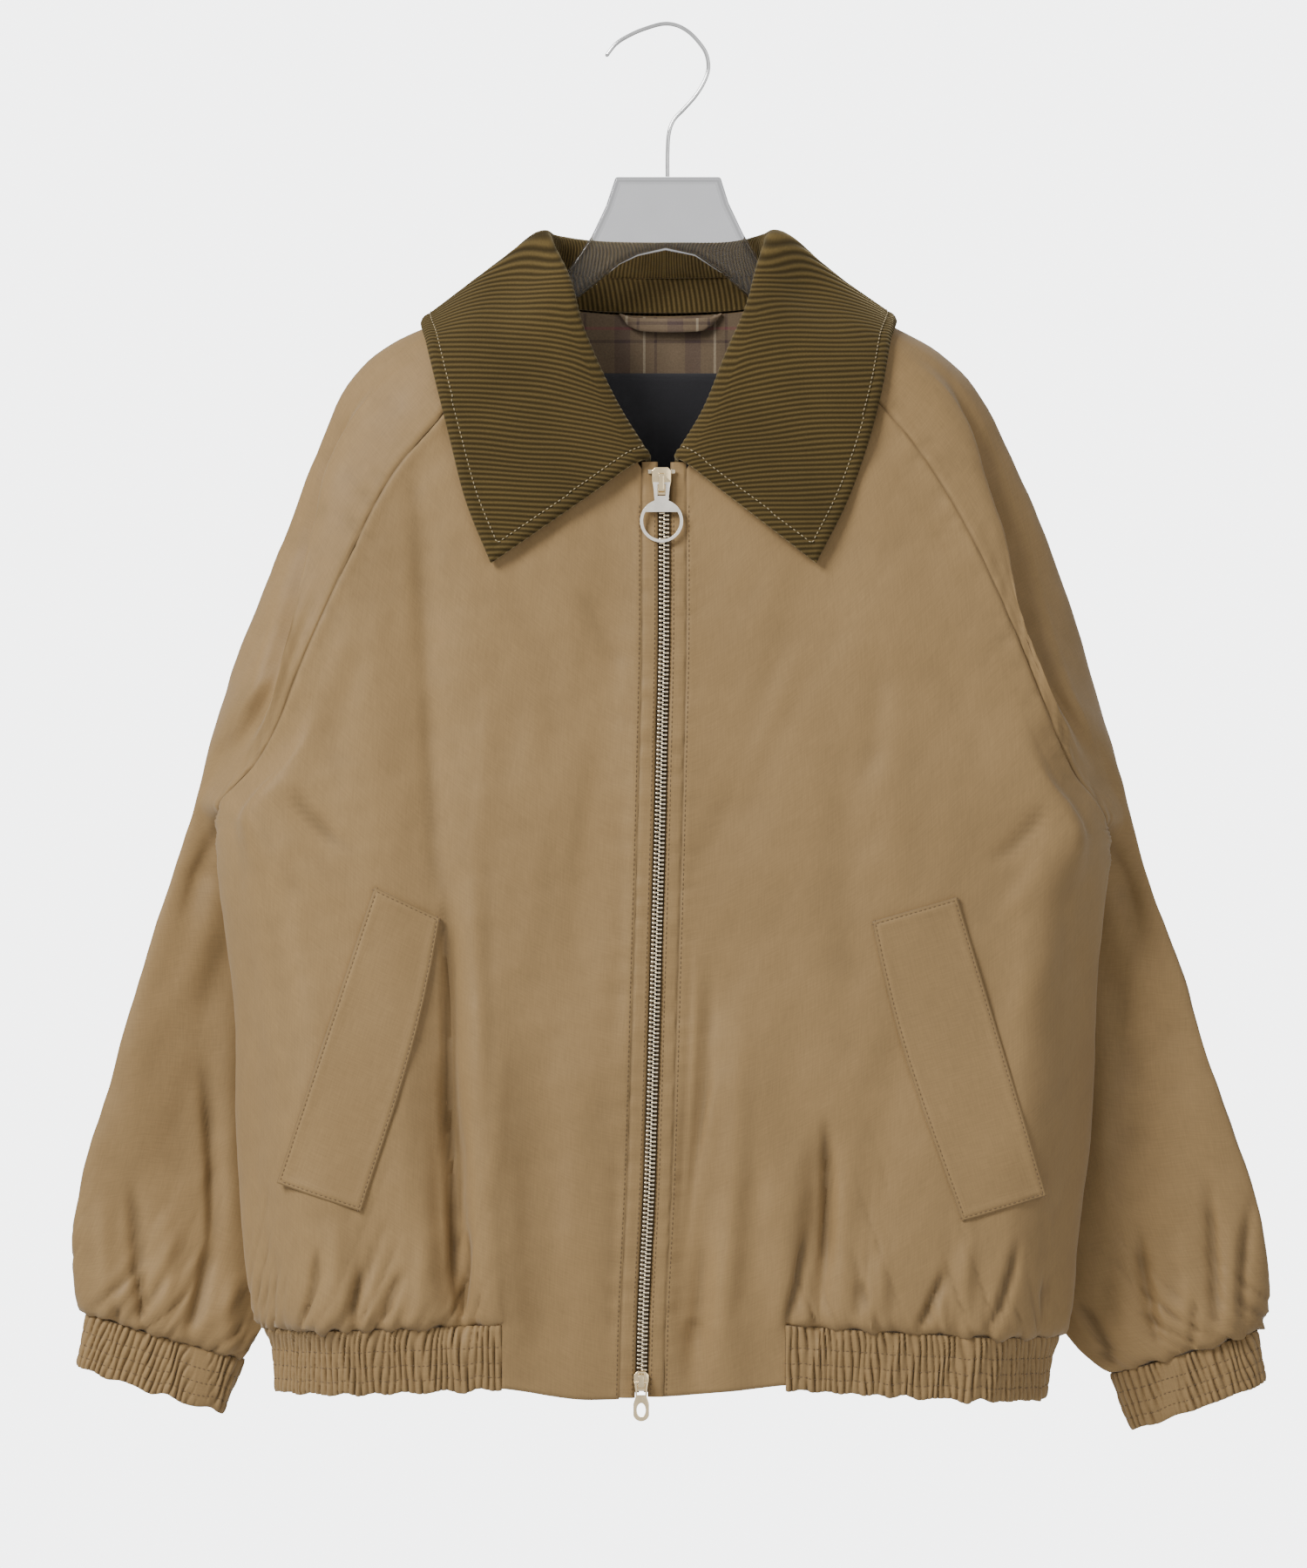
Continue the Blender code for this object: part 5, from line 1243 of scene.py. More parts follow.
def neck_pieces(looks):
    grid = back_grid(24, 12, 21)
    low = np.array(back_row(BAND_END_AT[LEFT][1] - 5, BAND_END_AT[RIGHT][1] - 5, HEM_ARCH, 21))
    whole = np.concatenate([grid, mix(grid[-1], low, 0.5)[None], low[None]])
    n = directions(whole, True)
    n[-2:] = n[-3]
    deep = np.full((len(whole), 1, 1), LINING_IN + LINING)
    deep[:2, 0, 0] = 2.8 + LINING, mix(SHELL, LINING_IN, 0.7) + LINING
    whole = finer(pulled_in(whole - n * deep, 0.3, LINING_EDGE), 4, 6)
    h = -0.5 * abs(lumps(whole, 45, 171)) + 0.12 * lumps(whole, 12, 172)
    cloth_piece("back_lining", "lining_back", "hung", whole, h, LINING, looks["lining"],
                uv=whole[..., (0, 2)])
    x0, x1, top, low = LABEL
    depth = LINING_IN + LINING + LABEL_OFF + LABEL_WALL
    rows = [
        [inside_back(x, drop, depth) for x in np.linspace(x0, x1, 17)]
        for drop in np.linspace(top, low, 13)
    ]
    grid = finer(np.array(rows), 4, 4)
    across, down = lengths(grid)
    rim = from_edges(across, down)
    h = -0.5 * bell(rim, 1.0) - 0.15 * bell(rim - 2.4, 0.7)
    cloth_piece("neck_label_woven", "neck_label", "laid", grid, h, LABEL_WALL, looks["label"])
    points = [inside_back(x, mix(182, drop, 0.35), depth + off + 0.8) for x, drop, off in LOOP]
    middle = path(points, ((4, 24, 1.0),))
    centre = middle[len(middle) // 2, 0]
    rows = []
    for t in np.linspace(-1, 1, 5):
        row = middle + np.array((0, 0, LOOP_WIDE / 2 * t * 1.4))
        row[:, 0] = mix(row[:, 0], centre, 0.2 * (t + 1) / 2)
        rows.append(row)
    strap = finer(np.array(rows), 3, 4)
    down = lengths(strap)[1]
    rim = np.minimum(down, down[-1:] - down)
    h = -0.5 * bell(rim, 0.8) + 0.1
    cloth_piece("hanging_loop_tape", "hanging_loop", "folded", strap, h, LOOP_WALL,
                looks["lining"], uv=strap[..., (0, 2)] + 11.0)


# ---- zip

TOOTH_PITCH = 2.63
TOOTH_FROM = 291.0
TOOTH_TO = 832.0
TOOTH = (1.32, 3.7, 2.3)        # one tooth along the chain, across it and out of the cloth
TOOTH_IN = 1.35         # from the middle of the chain to the middle of a tooth
TOOTH_ROUND, TOOTH_TAPER = 0.28, 0.82
TUCKED = 4.5            # how far the strips beside the zip run up under the collar


def band_beside_zip(side, near, far, depth, top, low, cols, rows=72):
    grid = []
    for t in np.linspace(0, 1, rows + 1):
        drop = mix(top, centre_hem(zip_x(top) + side * near) - low, t)
        row = []
        for away in np.linspace(near, far, cols + 1):
            x = zip_x(drop) + side * away
            row.append((x, front_y(x, drop) + depth, drop))
        grid.append(row)
    return finer(np.array(grid), 2, 2)


def zip_cloth(looks):
    for side in (LEFT, RIGHT):
        word = side_word(side)
        grid = band_beside_zip(side, STRIP_IN, STRIP_OUT, 0.0, ZIP_TOP - TUCKED, 0.0, 9, 120)
        across, down = lengths(grid)
        outer = across[:, -1:] - across
        seed = 181 + side
        h = -0.9 * bell(across, 0.9) + 0.2 * ripple(down, 21, seed)
        h = h + seam_heights(outer, down, seed + 3, groove=0.5, pucker=0.3, reach=9)
        h = h + crease_heights(FRONT_CREASES, grid) + shell_lumps(grid, FRONT_SEED[side])
        cloth_piece("zip_strip_" + word + "_shell", "zip_strip_" + word, "hung", grid, h, SHELL,
                    looks["shell"], side == LEFT, away=np.minimum(across, outer))
        depth = SHELL + LAY_GAP + 0.2
        grid = band_beside_zip(side, TAPE_IN, TAPE_OUT, depth, ZIP_TOP + 2, 3.0, 4)
        h = np.zeros(grid.shape[:2])
        h[:, :2] = 0.8
        cloth_piece("zip_tape_" + word + "_woven", "zip_tape_" + word, "laid", grid, h, TAPE_WALL,
                    looks["tape"], side == LEFT)


# ---- things that repeat along a line


def line_mesh(lines):
    """Poly lines with the direction out of the cloth at each point, as one mesh of edges."""
    verts, edges, outs = [], [], []
    for points, out in lines:
        first = len(verts)
        verts += [(x * MM, y * MM, -drop * MM) for x, y, drop in points]
        outs += [(x, y, -drop) for x, y, drop in out]
        edges += [(first + k, first + k + 1) for k in range(len(points) - 1)]
    mesh = bpy.data.meshes.new("lines")
    mesh.from_pydata(verts, edges, [])
    layer = mesh.attributes.new("outward", "FLOAT_VECTOR", "POINT")
    layer.data.foreach_set("vector", np.array(outs, np.float32).ravel())
    return mesh


def repeat_tree():
    """Geometry Nodes that set one item along every line, facing out of the cloth."""
    tree = bpy.data.node_groups.new("Items along lines", "GeometryNodeTree")
    face = tree.interface
    for name, kind in (("Lines", "Geometry"), ("Item", "Object"), ("Pitch", "Float"),
                       ("Uneven", "Float"), ("Finish", "Material")):
        face.new_socket(name, in_out="INPUT", socket_type="NodeSocket" + kind)
    face.new_socket("Items", in_out="OUTPUT", socket_type="NodeSocketGeometry")
    node, link = tree.nodes.new, tree.links.new
    start, end = node("NodeGroupInput"), node("NodeGroupOutput")
    curve = node("GeometryNodeMeshToCurve")
    spaced = node("GeometryNodeResampleCurve")
    spaced.mode = "LENGTH"
    item = node("GeometryNodeObjectInfo")
    tangent = node("GeometryNodeInputTangent")
    out = node("GeometryNodeInputNamedAttribute")
    out.data_type = "FLOAT_VECTOR"
    out.inputs["Name"].default_value = "outward"
    run = node("FunctionNodeAlignRotationToVector")
    run.axis = "X"
    stand = node("FunctionNodeAlignRotationToVector")
    stand.axis = "Z"
    stand.pivot_axis = "X"
    draw = node("FunctionNodeRandomValue")
    draw.data_type = "FLOAT"
    draw.inputs["Seed"].default_value = 7
    low = node("ShaderNodeMath")
    low.operation = "SUBTRACT"
    low.inputs[0].default_value = 1.0
    high = node("ShaderNodeMath")
    high.operation = "ADD"
    high.inputs[0].default_value = 1.0
    place = node("GeometryNodeInstanceOnPoints")
    real = node("GeometryNodeRealizeInstances")
    smooth = node("GeometryNodeSetShadeSmooth")
    finish = node("GeometryNodeSetMaterial")
    link(start.outputs["Lines"], curve.inputs[0])
    link(curve.outputs[0], spaced.inputs["Curve"])
    link(start.outputs["Pitch"], spaced.inputs["Length"])
    link(spaced.outputs[0], place.inputs["Points"])
    link(start.outputs["Item"], item.inputs["Object"])
    link(item.outputs["Geometry"], place.inputs["Instance"])
    link(tangent.outputs[0], run.inputs["Vector"])
    link(run.outputs[0], stand.inputs["Rotation"])
    link(out.outputs["Attribute"], stand.inputs["Vector"])
    link(stand.outputs[0], place.inputs["Rotation"])
    link(start.outputs["Uneven"], low.inputs[1])
    link(start.outputs["Uneven"], high.inputs[1])
    link(low.outputs[0], draw.inputs[2])
    link(high.outputs[0], draw.inputs[3])
    link(draw.outputs[1], place.inputs["Scale"])
    link(place.outputs[0], real.inputs[0])
    link(real.outputs[0], smooth.inputs[0])
    link(smooth.outputs[0], finish.inputs["Geometry"])
    link(start.outputs["Finish"], finish.inputs["Material"])
    link(finish.outputs[0], end.inputs[0])
    return tree


def worked_out(source):
    """The mesh that an object comes to, in place of the object."""
    whole = source.evaluated_get(bpy.context.evaluated_depsgraph_get())
    mesh = bpy.data.meshes.new_from_object(whole)
    bpy.data.objects.remove(source)
    return mesh


def repeated(name, lines, item_mesh, pitch, uneven, look):
    """The items along the lines as one plain mesh object."""
    tree = bpy.data.node_groups.get("Items along lines") or repeat_tree()
    item = bpy.data.objects.new("item", item_mesh)
    source = bpy.data.objects.new(name + "_lines", line_mesh(lines))
    for obj in (item, source):
        bpy.context.scene.collection.objects.link(obj)
    nodes = source.modifiers.new("items", "NODES")
    nodes.node_group = tree
    values = {"Item": item, "Pitch": pitch * MM, "Uneven": uneven, "Finish": look}
    for socket in tree.interface.items_tree:
        if socket.name in values:
            nodes[socket.identifier] = values[socket.name]
    mesh = worked_out(source)
    bpy.data.objects.remove(item)
    if not mesh.polygons:
        raise RuntimeError(name + " has no items")
    mesh.name = name
    return put(name, mesh, look)


def tooth_mesh():
    """One tooth of the chain: a small block with rounded edges, its far side narrowed."""
    bm = bmesh.new()
    bmesh.ops.create_cube(bm, size=1.0)
    for v in bm.verts:
        v.co = Vector(v.co[k] * TOOTH[k] * MM for k in range(3))
        if v.co.y > 0:
            v.co.x *= TOOTH_TAPER
    bmesh.ops.bevel(bm, geom=bm.edges[:], offset=TOOTH_ROUND * MM, segments=1, affect="EDGES")
    mesh = bpy.data.meshes.new("tooth")
    bm.to_mesh(mesh)
    bm.free()
    return mesh


def stitch_mesh(length, thick):
    bm = bmesh.new()
    bmesh.ops.create_icosphere(bm, subdivisions=1, radius=0.5)
    for v in bm.verts:
        v.co = Vector((v.co.x * length * MM, v.co.y * thick * MM, v.co.z * thick * MM))
    mesh = bpy.data.meshes.new("stitch")
    bm.to_mesh(mesh)
    bm.free()
    return mesh


def chain_piece(look):
    lines = []
    for side, shift in ((LEFT, 0.0), (RIGHT, TOOTH_PITCH / 2)):
        drops = np.linspace(TOOTH_FROM + shift, TOOTH_TO + shift, 200)
        points = []
        for drop in drops:
            x = zip_x(drop) + side * TOOTH_IN
            points.append((x, front_y(x, drop) - 0.1, drop))
        if side == RIGHT:
            points.reverse()
        lines.append((points, [(0.0, -1.0, 0.0)] * len(points)))
    obj = repeated("zip_teeth", lines, tooth_mesh(), TOOTH_PITCH, 0.0, look)
    settle_piece(obj, "zip_chain")


FLAT_FACE = 12.0        # faces of a hard part larger than this, in mm2, are flat
BROAD_FACE = 480.0      # and those larger than this may have a border
# painted shade: each step of the border is painted a little darker on the hanger
RIM_STEPS = (0.1, 0.045)        # how much light each half of a border bends away


def node_copy(node, name, look, bevel, segments=3, body="jacket", border=0.0):
    """A hard part of the frame with its edges rounded off, its faces marked for painted shade the
    more they turn from the front, and a border of painted shade on its broad faces where the light
    through it is bent away."""
    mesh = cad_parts[node].data.copy()
    mesh.name = name
    mesh.transform(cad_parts[node].matrix_world)
    bm = bmesh.new()
    bm.from_mesh(mesh)
    bmesh.ops.remove_doubles(bm, verts=bm.verts, dist=1e-5)
    bmesh.ops.dissolve_limit(bm, angle_limit=math.radians(2), verts=bm.verts, edges=bm.edges)
    bmesh.ops.recalc_face_normals(bm, faces=bm.faces)
    sharp = [e for e in bm.edges if e.is_manifold and e.calc_face_angle(0) > math.radians(35)]
    bmesh.ops.bevel(bm, geom=sharp, offset=bevel * MM, segments=segments, affect="EDGES",
                    profile=0.5, clamp_overlap=True)
    # painted shade: faces that turn away from the front are marked to be painted darker in the
    # clear plastic
    rim = bm.faces.layers.float.new("rim")
    for face in bm.faces:
        face[rim] = 1.0 - abs(face.normal.y)
    for bent in RIM_STEPS if border else ():
        broad = [f for f in bm.faces if f.calc_area() > BROAD_FACE * MM * MM]
        ring = bmesh.ops.inset_individual(bm, faces=broad, thickness=0.5 * border * MM,
                                          use_even_offset=True)["faces"]
        for face in ring:
            face[rim] = bent
    bmesh.ops.triangulate(bm, faces=bm.faces)
    bm.to_mesh(mesh)
    bm.free()
    obj = put(name, mesh, look, HARD_CRISP)
    for face in mesh.polygons:
        face.use_smooth = face.area < FLAT_FACE * MM * MM
    settle_piece(obj, node, body=body)


# A slider's plate, how far it stands off the cloth, and a pull's place and thickness over it
PLATE, PLATE_OFF, PIN_UP, PULL_HALF = 1.6, 1.2, 1.5, 0.7
PULL_EDGE = 0.35        # how round a pull's edges are
LOWER_SLIDER = (-14.0, 829.0, 12.0, 835.6)      # centre x, top drop, height, axis drop
PULL_SIDE = ((4.2, -PULL_HALF), (3.4, 8.5), (4.8, 13.0))        # half width, drop from the axis
PULL_FOOT = (854.2, 5.0, 5.0)   # the round foot: its centre's drop, half width and half height
GRIP = (852.4, 2.7, 4.3)        # and the same of the hole through it
FOOT_TURN = 1.3         # how far round the foot goes to each side
FORK_GAP = (2.5, 0.7, 7.6)      # the gap in the fork: half width, from and to below the axis


def round_plate(name, loops, y, look):
    """A flat plate with rounded edges from closed loops of (x, drop), the first its outline."""
    curve = bpy.data.curves.new(name, "CURVE")
    curve.dimensions = "2D"
    curve.fill_mode = "BOTH"
    curve.extrude = (PULL_HALF - PULL_EDGE) * MM
    curve.bevel_depth = PULL_EDGE * MM
    curve.bevel_resolution = 2
    curve.offset = -PULL_EDGE * MM
    for loop in loops:
        line = curve.splines.new("POLY")
        line.points.add(len(loop) - 1)
        line.points.foreach_set("co", [c for x, drop in loop for c in (x * MM, -drop * MM, 0, 1)])
        line.use_cyclic_u = True
    source = bpy.data.objects.new(name + "_outline", curve)
    bpy.context.scene.collection.objects.link(source)
    mesh = worked_out(source)
    mesh.transform(Matrix.Translation((0, y * MM, 0)) @ Matrix.Rotation(math.pi / 2, 4, "X"))
    bm = bmesh.new()
    bm.from_mesh(mesh)
    bmesh.ops.remove_doubles(bm, verts=bm.verts, dist=1e-6)
    bmesh.ops.recalc_face_normals(bm, faces=bm.faces)
    bm.to_mesh(mesh)
    bm.free()
    return put(name, mesh, look, HARD_CRISP)


def round_part(x, shape, turns):
    """Points round a part of an outline, from its centre's drop, half width and half height."""
    drop, wide, high = shape
    return [(x + wide * math.sin(a), drop + high * math.cos(a)) for a in turns]


def lower_pull(look):
    """The lower pull: its fork over the pin and a rounded grip with a hole through it."""
    x, top, height, axis = LOWER_SLIDER
    y = min(front_y(x, top), front_y(x, top + height)) - PLATE_OFF - PLATE - PIN_UP
    foot = round_part(x, PULL_FOOT, np.linspace(-FOOT_TURN, FOOT_TURN, 15))
    left, right = ([(x + side * wide, axis + below) for wide, below in PULL_SIDE]
                   for side in (LEFT, RIGHT))
    outline = [right[0], *left, *foot, right[2], right[1]]
    wide, start, end = FORK_GAP
    window = [(x - wide, axis + start), (x + wide, axis + start), (x + wide, axis + end),
              (x - wide, axis + end)]
    hole = round_part(x, GRIP, np.linspace(0, 2 * math.pi, 28, endpoint=False))
    obj = round_plate("bottom_pull_metal", (outline, window, hole), y, look)
    settle_piece(obj, "bottom_pull", body="bottom_pull")


# ---- pocket welts

BEFORE = 200.0          # how far in front of the hanger the lines that look for the cloth start


def on_cloth(names, points, off=0.0):
    """Places and directions on the front of the named pieces at points of (x, drop)."""
    trees = []
    for name in names:
        obj = bpy.data.objects[name]
        verts = [v.co for v in obj.data.vertices]
        faces = [tuple(p.vertices) for p in obj.data.polygons]
        trees.append(BVHTree.FromPolygons(verts, faces))
    backwards = Vector((0, 1, 0))
    places, outs = [], []
    for x, drop in points:
        begin = Vector((x * MM, -BEFORE * MM, -drop * MM))
        hits = [tree.ray_cast(begin, backwards)[:2] for tree in trees]
        hits = [hit for hit in hits if hit[0] is not None]
        if not hits:
            continue
        place, normal = min(hits, key=lambda hit: abs(hit[0].y - begin.y))
        place = place + normal * off * MM
        places.append((place.x / MM, place.y / MM, -place.z / MM))
        outs.append((normal.x, normal.y, -normal.z))
    return places, outs


def welt_grid(side, rows=49, cols=17):
    top_out, top_in, low_in, low_out = (np.array(c, float) for c in WELT[side])
    grid = []
    for t in np.linspace(0, 1, rows):
        row = []
        for f in np.linspace(0, 1, cols):
            x, drop = mix(mix(top_out, low_out, t), mix(top_in, low_in, t), f)
            x -= side * WELT_BOW * f * math.sin(math.pi * t) * (1 - 0.5 * t)
            row.append((x, drop))
        grid.append(row)
    return np.array(grid)


def welt_pieces(look):
    for side in (LEFT, RIGHT):
        word = side_word(side)
        flat = welt_grid(side)
        places, _ = on_cloth(["front_" + word + "_shell"], flat.reshape(-1, 2))
        y = np.array(places)[:, 1].reshape(flat.shape[:2])
        y = smoothed(y, 30) - WELT_WALL
        fine = finer(np.dstack([flat[..., 0], y, flat[..., 1]]), 8, 8)
        grid = crowded(fine, 49, 2.0, 4.0)
        grid = crowded(grid.transpose(1, 0, 2), 145, 2.0, 4.0).transpose(1, 0, 2)
        across, down = lengths(grid)
        rim = from_edges(across, down)
        h = -0.6 * bell(rim, 0.7) - 0.35 * bell(rim - INSIDE_EDGE, 0.7)
        h = h + 0.3 * bell(rim - 4, 2.5) + 0.25 * lumps(grid, 40, 201 + side)
        cloth_piece("pocket_welt_" + word + "_shell", "pocket_welt_" + word, "laid", grid, h,
                    WELT_WALL + 1.0, look, side == RIGHT, away=rim)


# ---- stitches

THREAD_OFF = 0.05       # how far a thread's middle stands off the shell
CORD_THREAD_OFF = 0.4   # and off the cords
SEWN_FROM, SEWN_TO = 300, 843   # how high and how low the rows beside the zip are sewn
BESIDE_SEAM = 1.6       # how far a row of stitches runs from a seam
INSIDE_EDGE = 1.9       # and in from an edge


def row_line(name, share):
    """A line of places along one row of a finished surface, at a share of its height."""
    outer, n = SURFACES[name]
    at = share * (len(outer) - 1)
    i = min(int(at), len(outer) - 2)
    return mix(outer[i], outer[i + 1], at - i) + n[i] * THREAD_OFF, n[i]


def rim_line(distance, off):
    """A line on the collar at one distance from its open edges."""
    outer, n = SURFACES["collar_fall_corduroy"]
    edge, front_end = SURFACES["collar_rim"]
    rows, cols = edge.shape
    level = [int(np.nonzero(edge[:, j] >= distance)[0][-1]) for j in range(cols)]
    inside = [j for j in range(cols) if front_end[level[j], j] >= distance]
    first, last = inside[0], inside[-1]
    top = int(0.14 * rows)
    line = []
    for i in range(top, level[first]):
        line.append((i, int(np.nonzero(front_end[i, :cols // 2] >= distance)[0][0])))
    line += [(level[j], j) for j in range(first, last + 1)]
    for i in range(level[last], top, -1):
        line.append((i, cols // 2 + int(np.nonzero(front_end[i, cols // 2:] >= distance)[0][-1])))
    return [outer[p] + n[p] * off for p in line], [n[p] for p in line]


def stitch_pieces(looks, length, thick):
    lines = []
    for side in (LEFT, RIGHT):
        word = side_word(side)
        drops = np.linspace(SEWN_FROM, SEWN_TO, 260)
        seam = [(zip_x(d) + side * (STRIP_OUT + BESIDE_SEAM), d) for d in drops]
        lines.append(on_cloth(["front_" + word + "_shell"], seam, off=THREAD_OFF))
        edge = [(zip_x(d) + side * (STRIP_IN + INSIDE_EDGE), d) for d in drops]
        lines.append(on_cloth(["zip_strip_" + word + "_shell"], edge, off=THREAD_OFF))
        flat = welt_grid(side, 60, 24)
        loops = (flat[:, -1], flat[0], flat[-1], flat[:, 0])
        centre = flat.mean(axis=(0, 1))
        for loop in loops:
            mid = loop.mean(axis=0)
            away = (mid - centre) / norm(mid - centre)
            both = ["front_" + word + "_shell", "pocket_welt_" + word + "_shell"]
            lines.append(on_cloth(both, loop - away * INSIDE_EDGE, off=THREAD_OFF))
        name = "hem_band_" + word + "_ruched"
        for share in CHANNELS[1:-1]:
            lines.append(row_line(name, share))
            lines.append(row_line("cuff_" + word + "_ruched", share))
    for share in CHANNELS[1:-1]:
        lines.append(row_line("hem_band_back_ruched", share))
    obj = repeated("shell_stitches", lines, stitch_mesh(length * 0.74, thick), length, 0.06,
                   looks["thread"])
    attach(obj, "jacket")
    rims = [rim_line(LEAF_STITCH, CORD_THREAD_OFF)]
    obj = repeated("collar_stitches", rims, stitch_mesh(length * 0.7, thick * 1.15), length, 0.06,
                   looks["collar_thread"])
    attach(obj, "jacket")


# ---- hanger


def hook_piece(look):
    points = path([(x, 0.0, drop) for x, drop in HOOK], ((len(HOOK) - 1, 150, 1.0),))
    run = np.gradient(points, axis=0)
    run /= norm(run, axis=1, keepdims=True)
    sides = 20
    flat = np.array([0.0, 1.0, 0.0])
    verts = []
    count = len(points)
    for k, (at, d) in enumerate(zip(points, run)):
        side = np.cross(d, flat)
        side /= norm(side)
        radius = HOOK_WIRE * (1.0 if k else 0.55)
        for turn in np.linspace(0, 2 * math.pi, sides, endpoint=False):
            verts.append(at + radius * (math.cos(turn) * flat + math.sin(turn) * side))
    faces = [tuple(range(sides)), tuple(range((count - 1) * sides, count * sides))]
    for i in range(count - 1):
        for k in range(sides):
            a, b = i * sides, (i + 1) * sides
            faces.append((a + k, a + (k + 1) % sides, b + (k + 1) % sides, b + k))
    obj = make("hook_wire", verts, faces, look)
    settle_piece(obj, "hanger_hook")


# ---- finishes


def start_look(name):
    material = bpy.data.materials.new(name)
    material.use_nodes = True
    tree = material.node_tree
    return material, tree.nodes.new, tree.links.new, tree.nodes["Principled BSDF"]


def noise(node, link, source, scale, detail=3.0, rough=0.55):
    texture = node("ShaderNodeTexNoise")
    texture.inputs["Scale"].default_value = scale
    texture.inputs["Detail"].default_value = detail
    texture.inputs["Roughness"].default_value = rough
    link(source, texture.inputs["Vector"])
    return texture.outputs["Fac"]


def ramp(node, link, source, stops, steps_only=False):
    """Colours or greys along a texture's value, from a list of (place, colour)."""
    band = node("ShaderNodeValToRGB")
    if steps_only:
        band.color_ramp.interpolation = "CONSTANT"
    marks = band.color_ramp.elements
    while len(marks) < len(stops):
        marks.new(0.5)
    for mark, (place, colour) in zip(marks, stops):
        mark.position = place
        mark.color = (*colour, 1.0) if hasattr(colour, "__len__") else (colour, colour, colour, 1.0)
    link(source, band.inputs["Fac"])
    return band.outputs["Color"]


def mottled(node, link, source, scale, low, high, detail=3.0, rough=0.55, between=(0.3, 0.7)):
    """A colour or grey that runs unevenly from low to high."""
    return ramp(node, link, noise(node, link, source, scale, detail, rough),
                ((between[0], low), (between[1], high)))


def blend(node, link, kind, factor, a, b):
    """Mixes two colours. The factor is a number or a texture's value."""
    mixer = node("ShaderNodeMix")
    mixer.data_type = "RGBA"
    mixer.blend_type = kind
    if isinstance(factor, float):
        mixer.inputs["Factor"].default_value = factor
    else:
        link(factor, mixer.inputs["Factor"])
    link(a, mixer.inputs[6])
    link(b, mixer.inputs[7])
    return mixer.outputs[2]


def bands(node, link, source, pitch, direction, profile="SIN"):
    """A wave texture whose bands are so far apart, in metres."""
    wave = node("ShaderNodeTexWave")
    wave.bands_direction = direction
    wave.wave_profile = profile
    wave.inputs["Scale"].default_value = 2 * math.pi / (20 * pitch)
    link(source, wave.inputs["Vector"])
    return wave.outputs["Fac"]


def bump(node, link, height, strength, distance, before=None):
    out = node("ShaderNodeBump")
    out.inputs["Strength"].default_value = strength
    out.inputs["Distance"].default_value = distance
    link(height, out.inputs["Height"])
    if before is not None:
        link(before, out.inputs["Normal"])
    return out.outputs["Normal"]


def threads(node, link, uv, pitch, strength, distance, before=None):
    """Crossing threads, so far apart, as bump."""
    warp = bump(node, link, bands(node, link, uv, pitch, "X"), strength, distance, before)
    return bump(node, link, bands(node, link, uv, pitch, "Y"), strength, distance, warp)


def scaled(colour, by):
    return tuple(min(c * by, 1.0) for c in colour)


def coordinates(node):
    uv = node("ShaderNodeUVMap")
    uv.uv_map = "cloth"
    return uv.outputs["UV"], node("ShaderNodeTexCoord").outputs["Object"]


def painted_shade(node):
    """The painted shade in seam grooves and crease valleys, read from the piece's own attribute."""
    made = node("ShaderNodeAttribute")
    made.attribute_name = "painted_shade"
    return made.outputs["Fac"]


def woven_shell(name, colour, thread_pitch):
    """Smooth close-woven cloth with a soft sheen, its colour darkened with painted shade in the
    grooves of seams and the valleys of creases.
    """
    material, node, link, shader = start_look(name)
    uv, place = coordinates(node)
    soft = mottled(node, link, place, 7.0, scaled(colour, 0.93), scaled(colour, 1.06), 2.0)
    slubs = []
    for stretch in ((1.0, 0.07, 1.0), (0.07, 1.0, 1.0)):
        drawn = node("ShaderNodeMapping")
        drawn.inputs["Scale"].default_value = stretch
        link(uv, drawn.inputs["Vector"])
        slubs.append(mottled(node, link, drawn.outputs[0], 1100.0, 0.89, 1.0))
    fine = blend(node, link, "MULTIPLY", 1.0, *slubs)
    # painted shade: the colour falls to about a third where the cloth lies deepest in a seam or a
    # crease
    sunk = ramp(node, link, painted_shade(node), ((0.0, 1.0), (1.0, 0.34)))
    shade = blend(node, link, "MULTIPLY", 1.0, soft, fine)
    link(blend(node, link, "MULTIPLY", 1.0, shade, sunk), shader.inputs["Base Color"])
    link(mottled(node, link, place, 30.0, 0.56, 0.68), shader.inputs["Roughness"])
    shader.inputs["Sheen Weight"].default_value = 0.22
    shader.inputs["Sheen Roughness"].default_value = 0.45
    shader.inputs["Sheen Tint"].default_value = (1.0, 0.92, 0.8, 1.0)
    shader.inputs["Specular IOR Level"].default_value = 0.28
    crinkle = bump(node, link, noise(node, link, place, 95.0, 3.0), 0.22, 0.0012)
    link(threads(node, link, uv, thread_pitch, 0.10, 0.00008, crinkle), shader.inputs["Normal"])
    return material


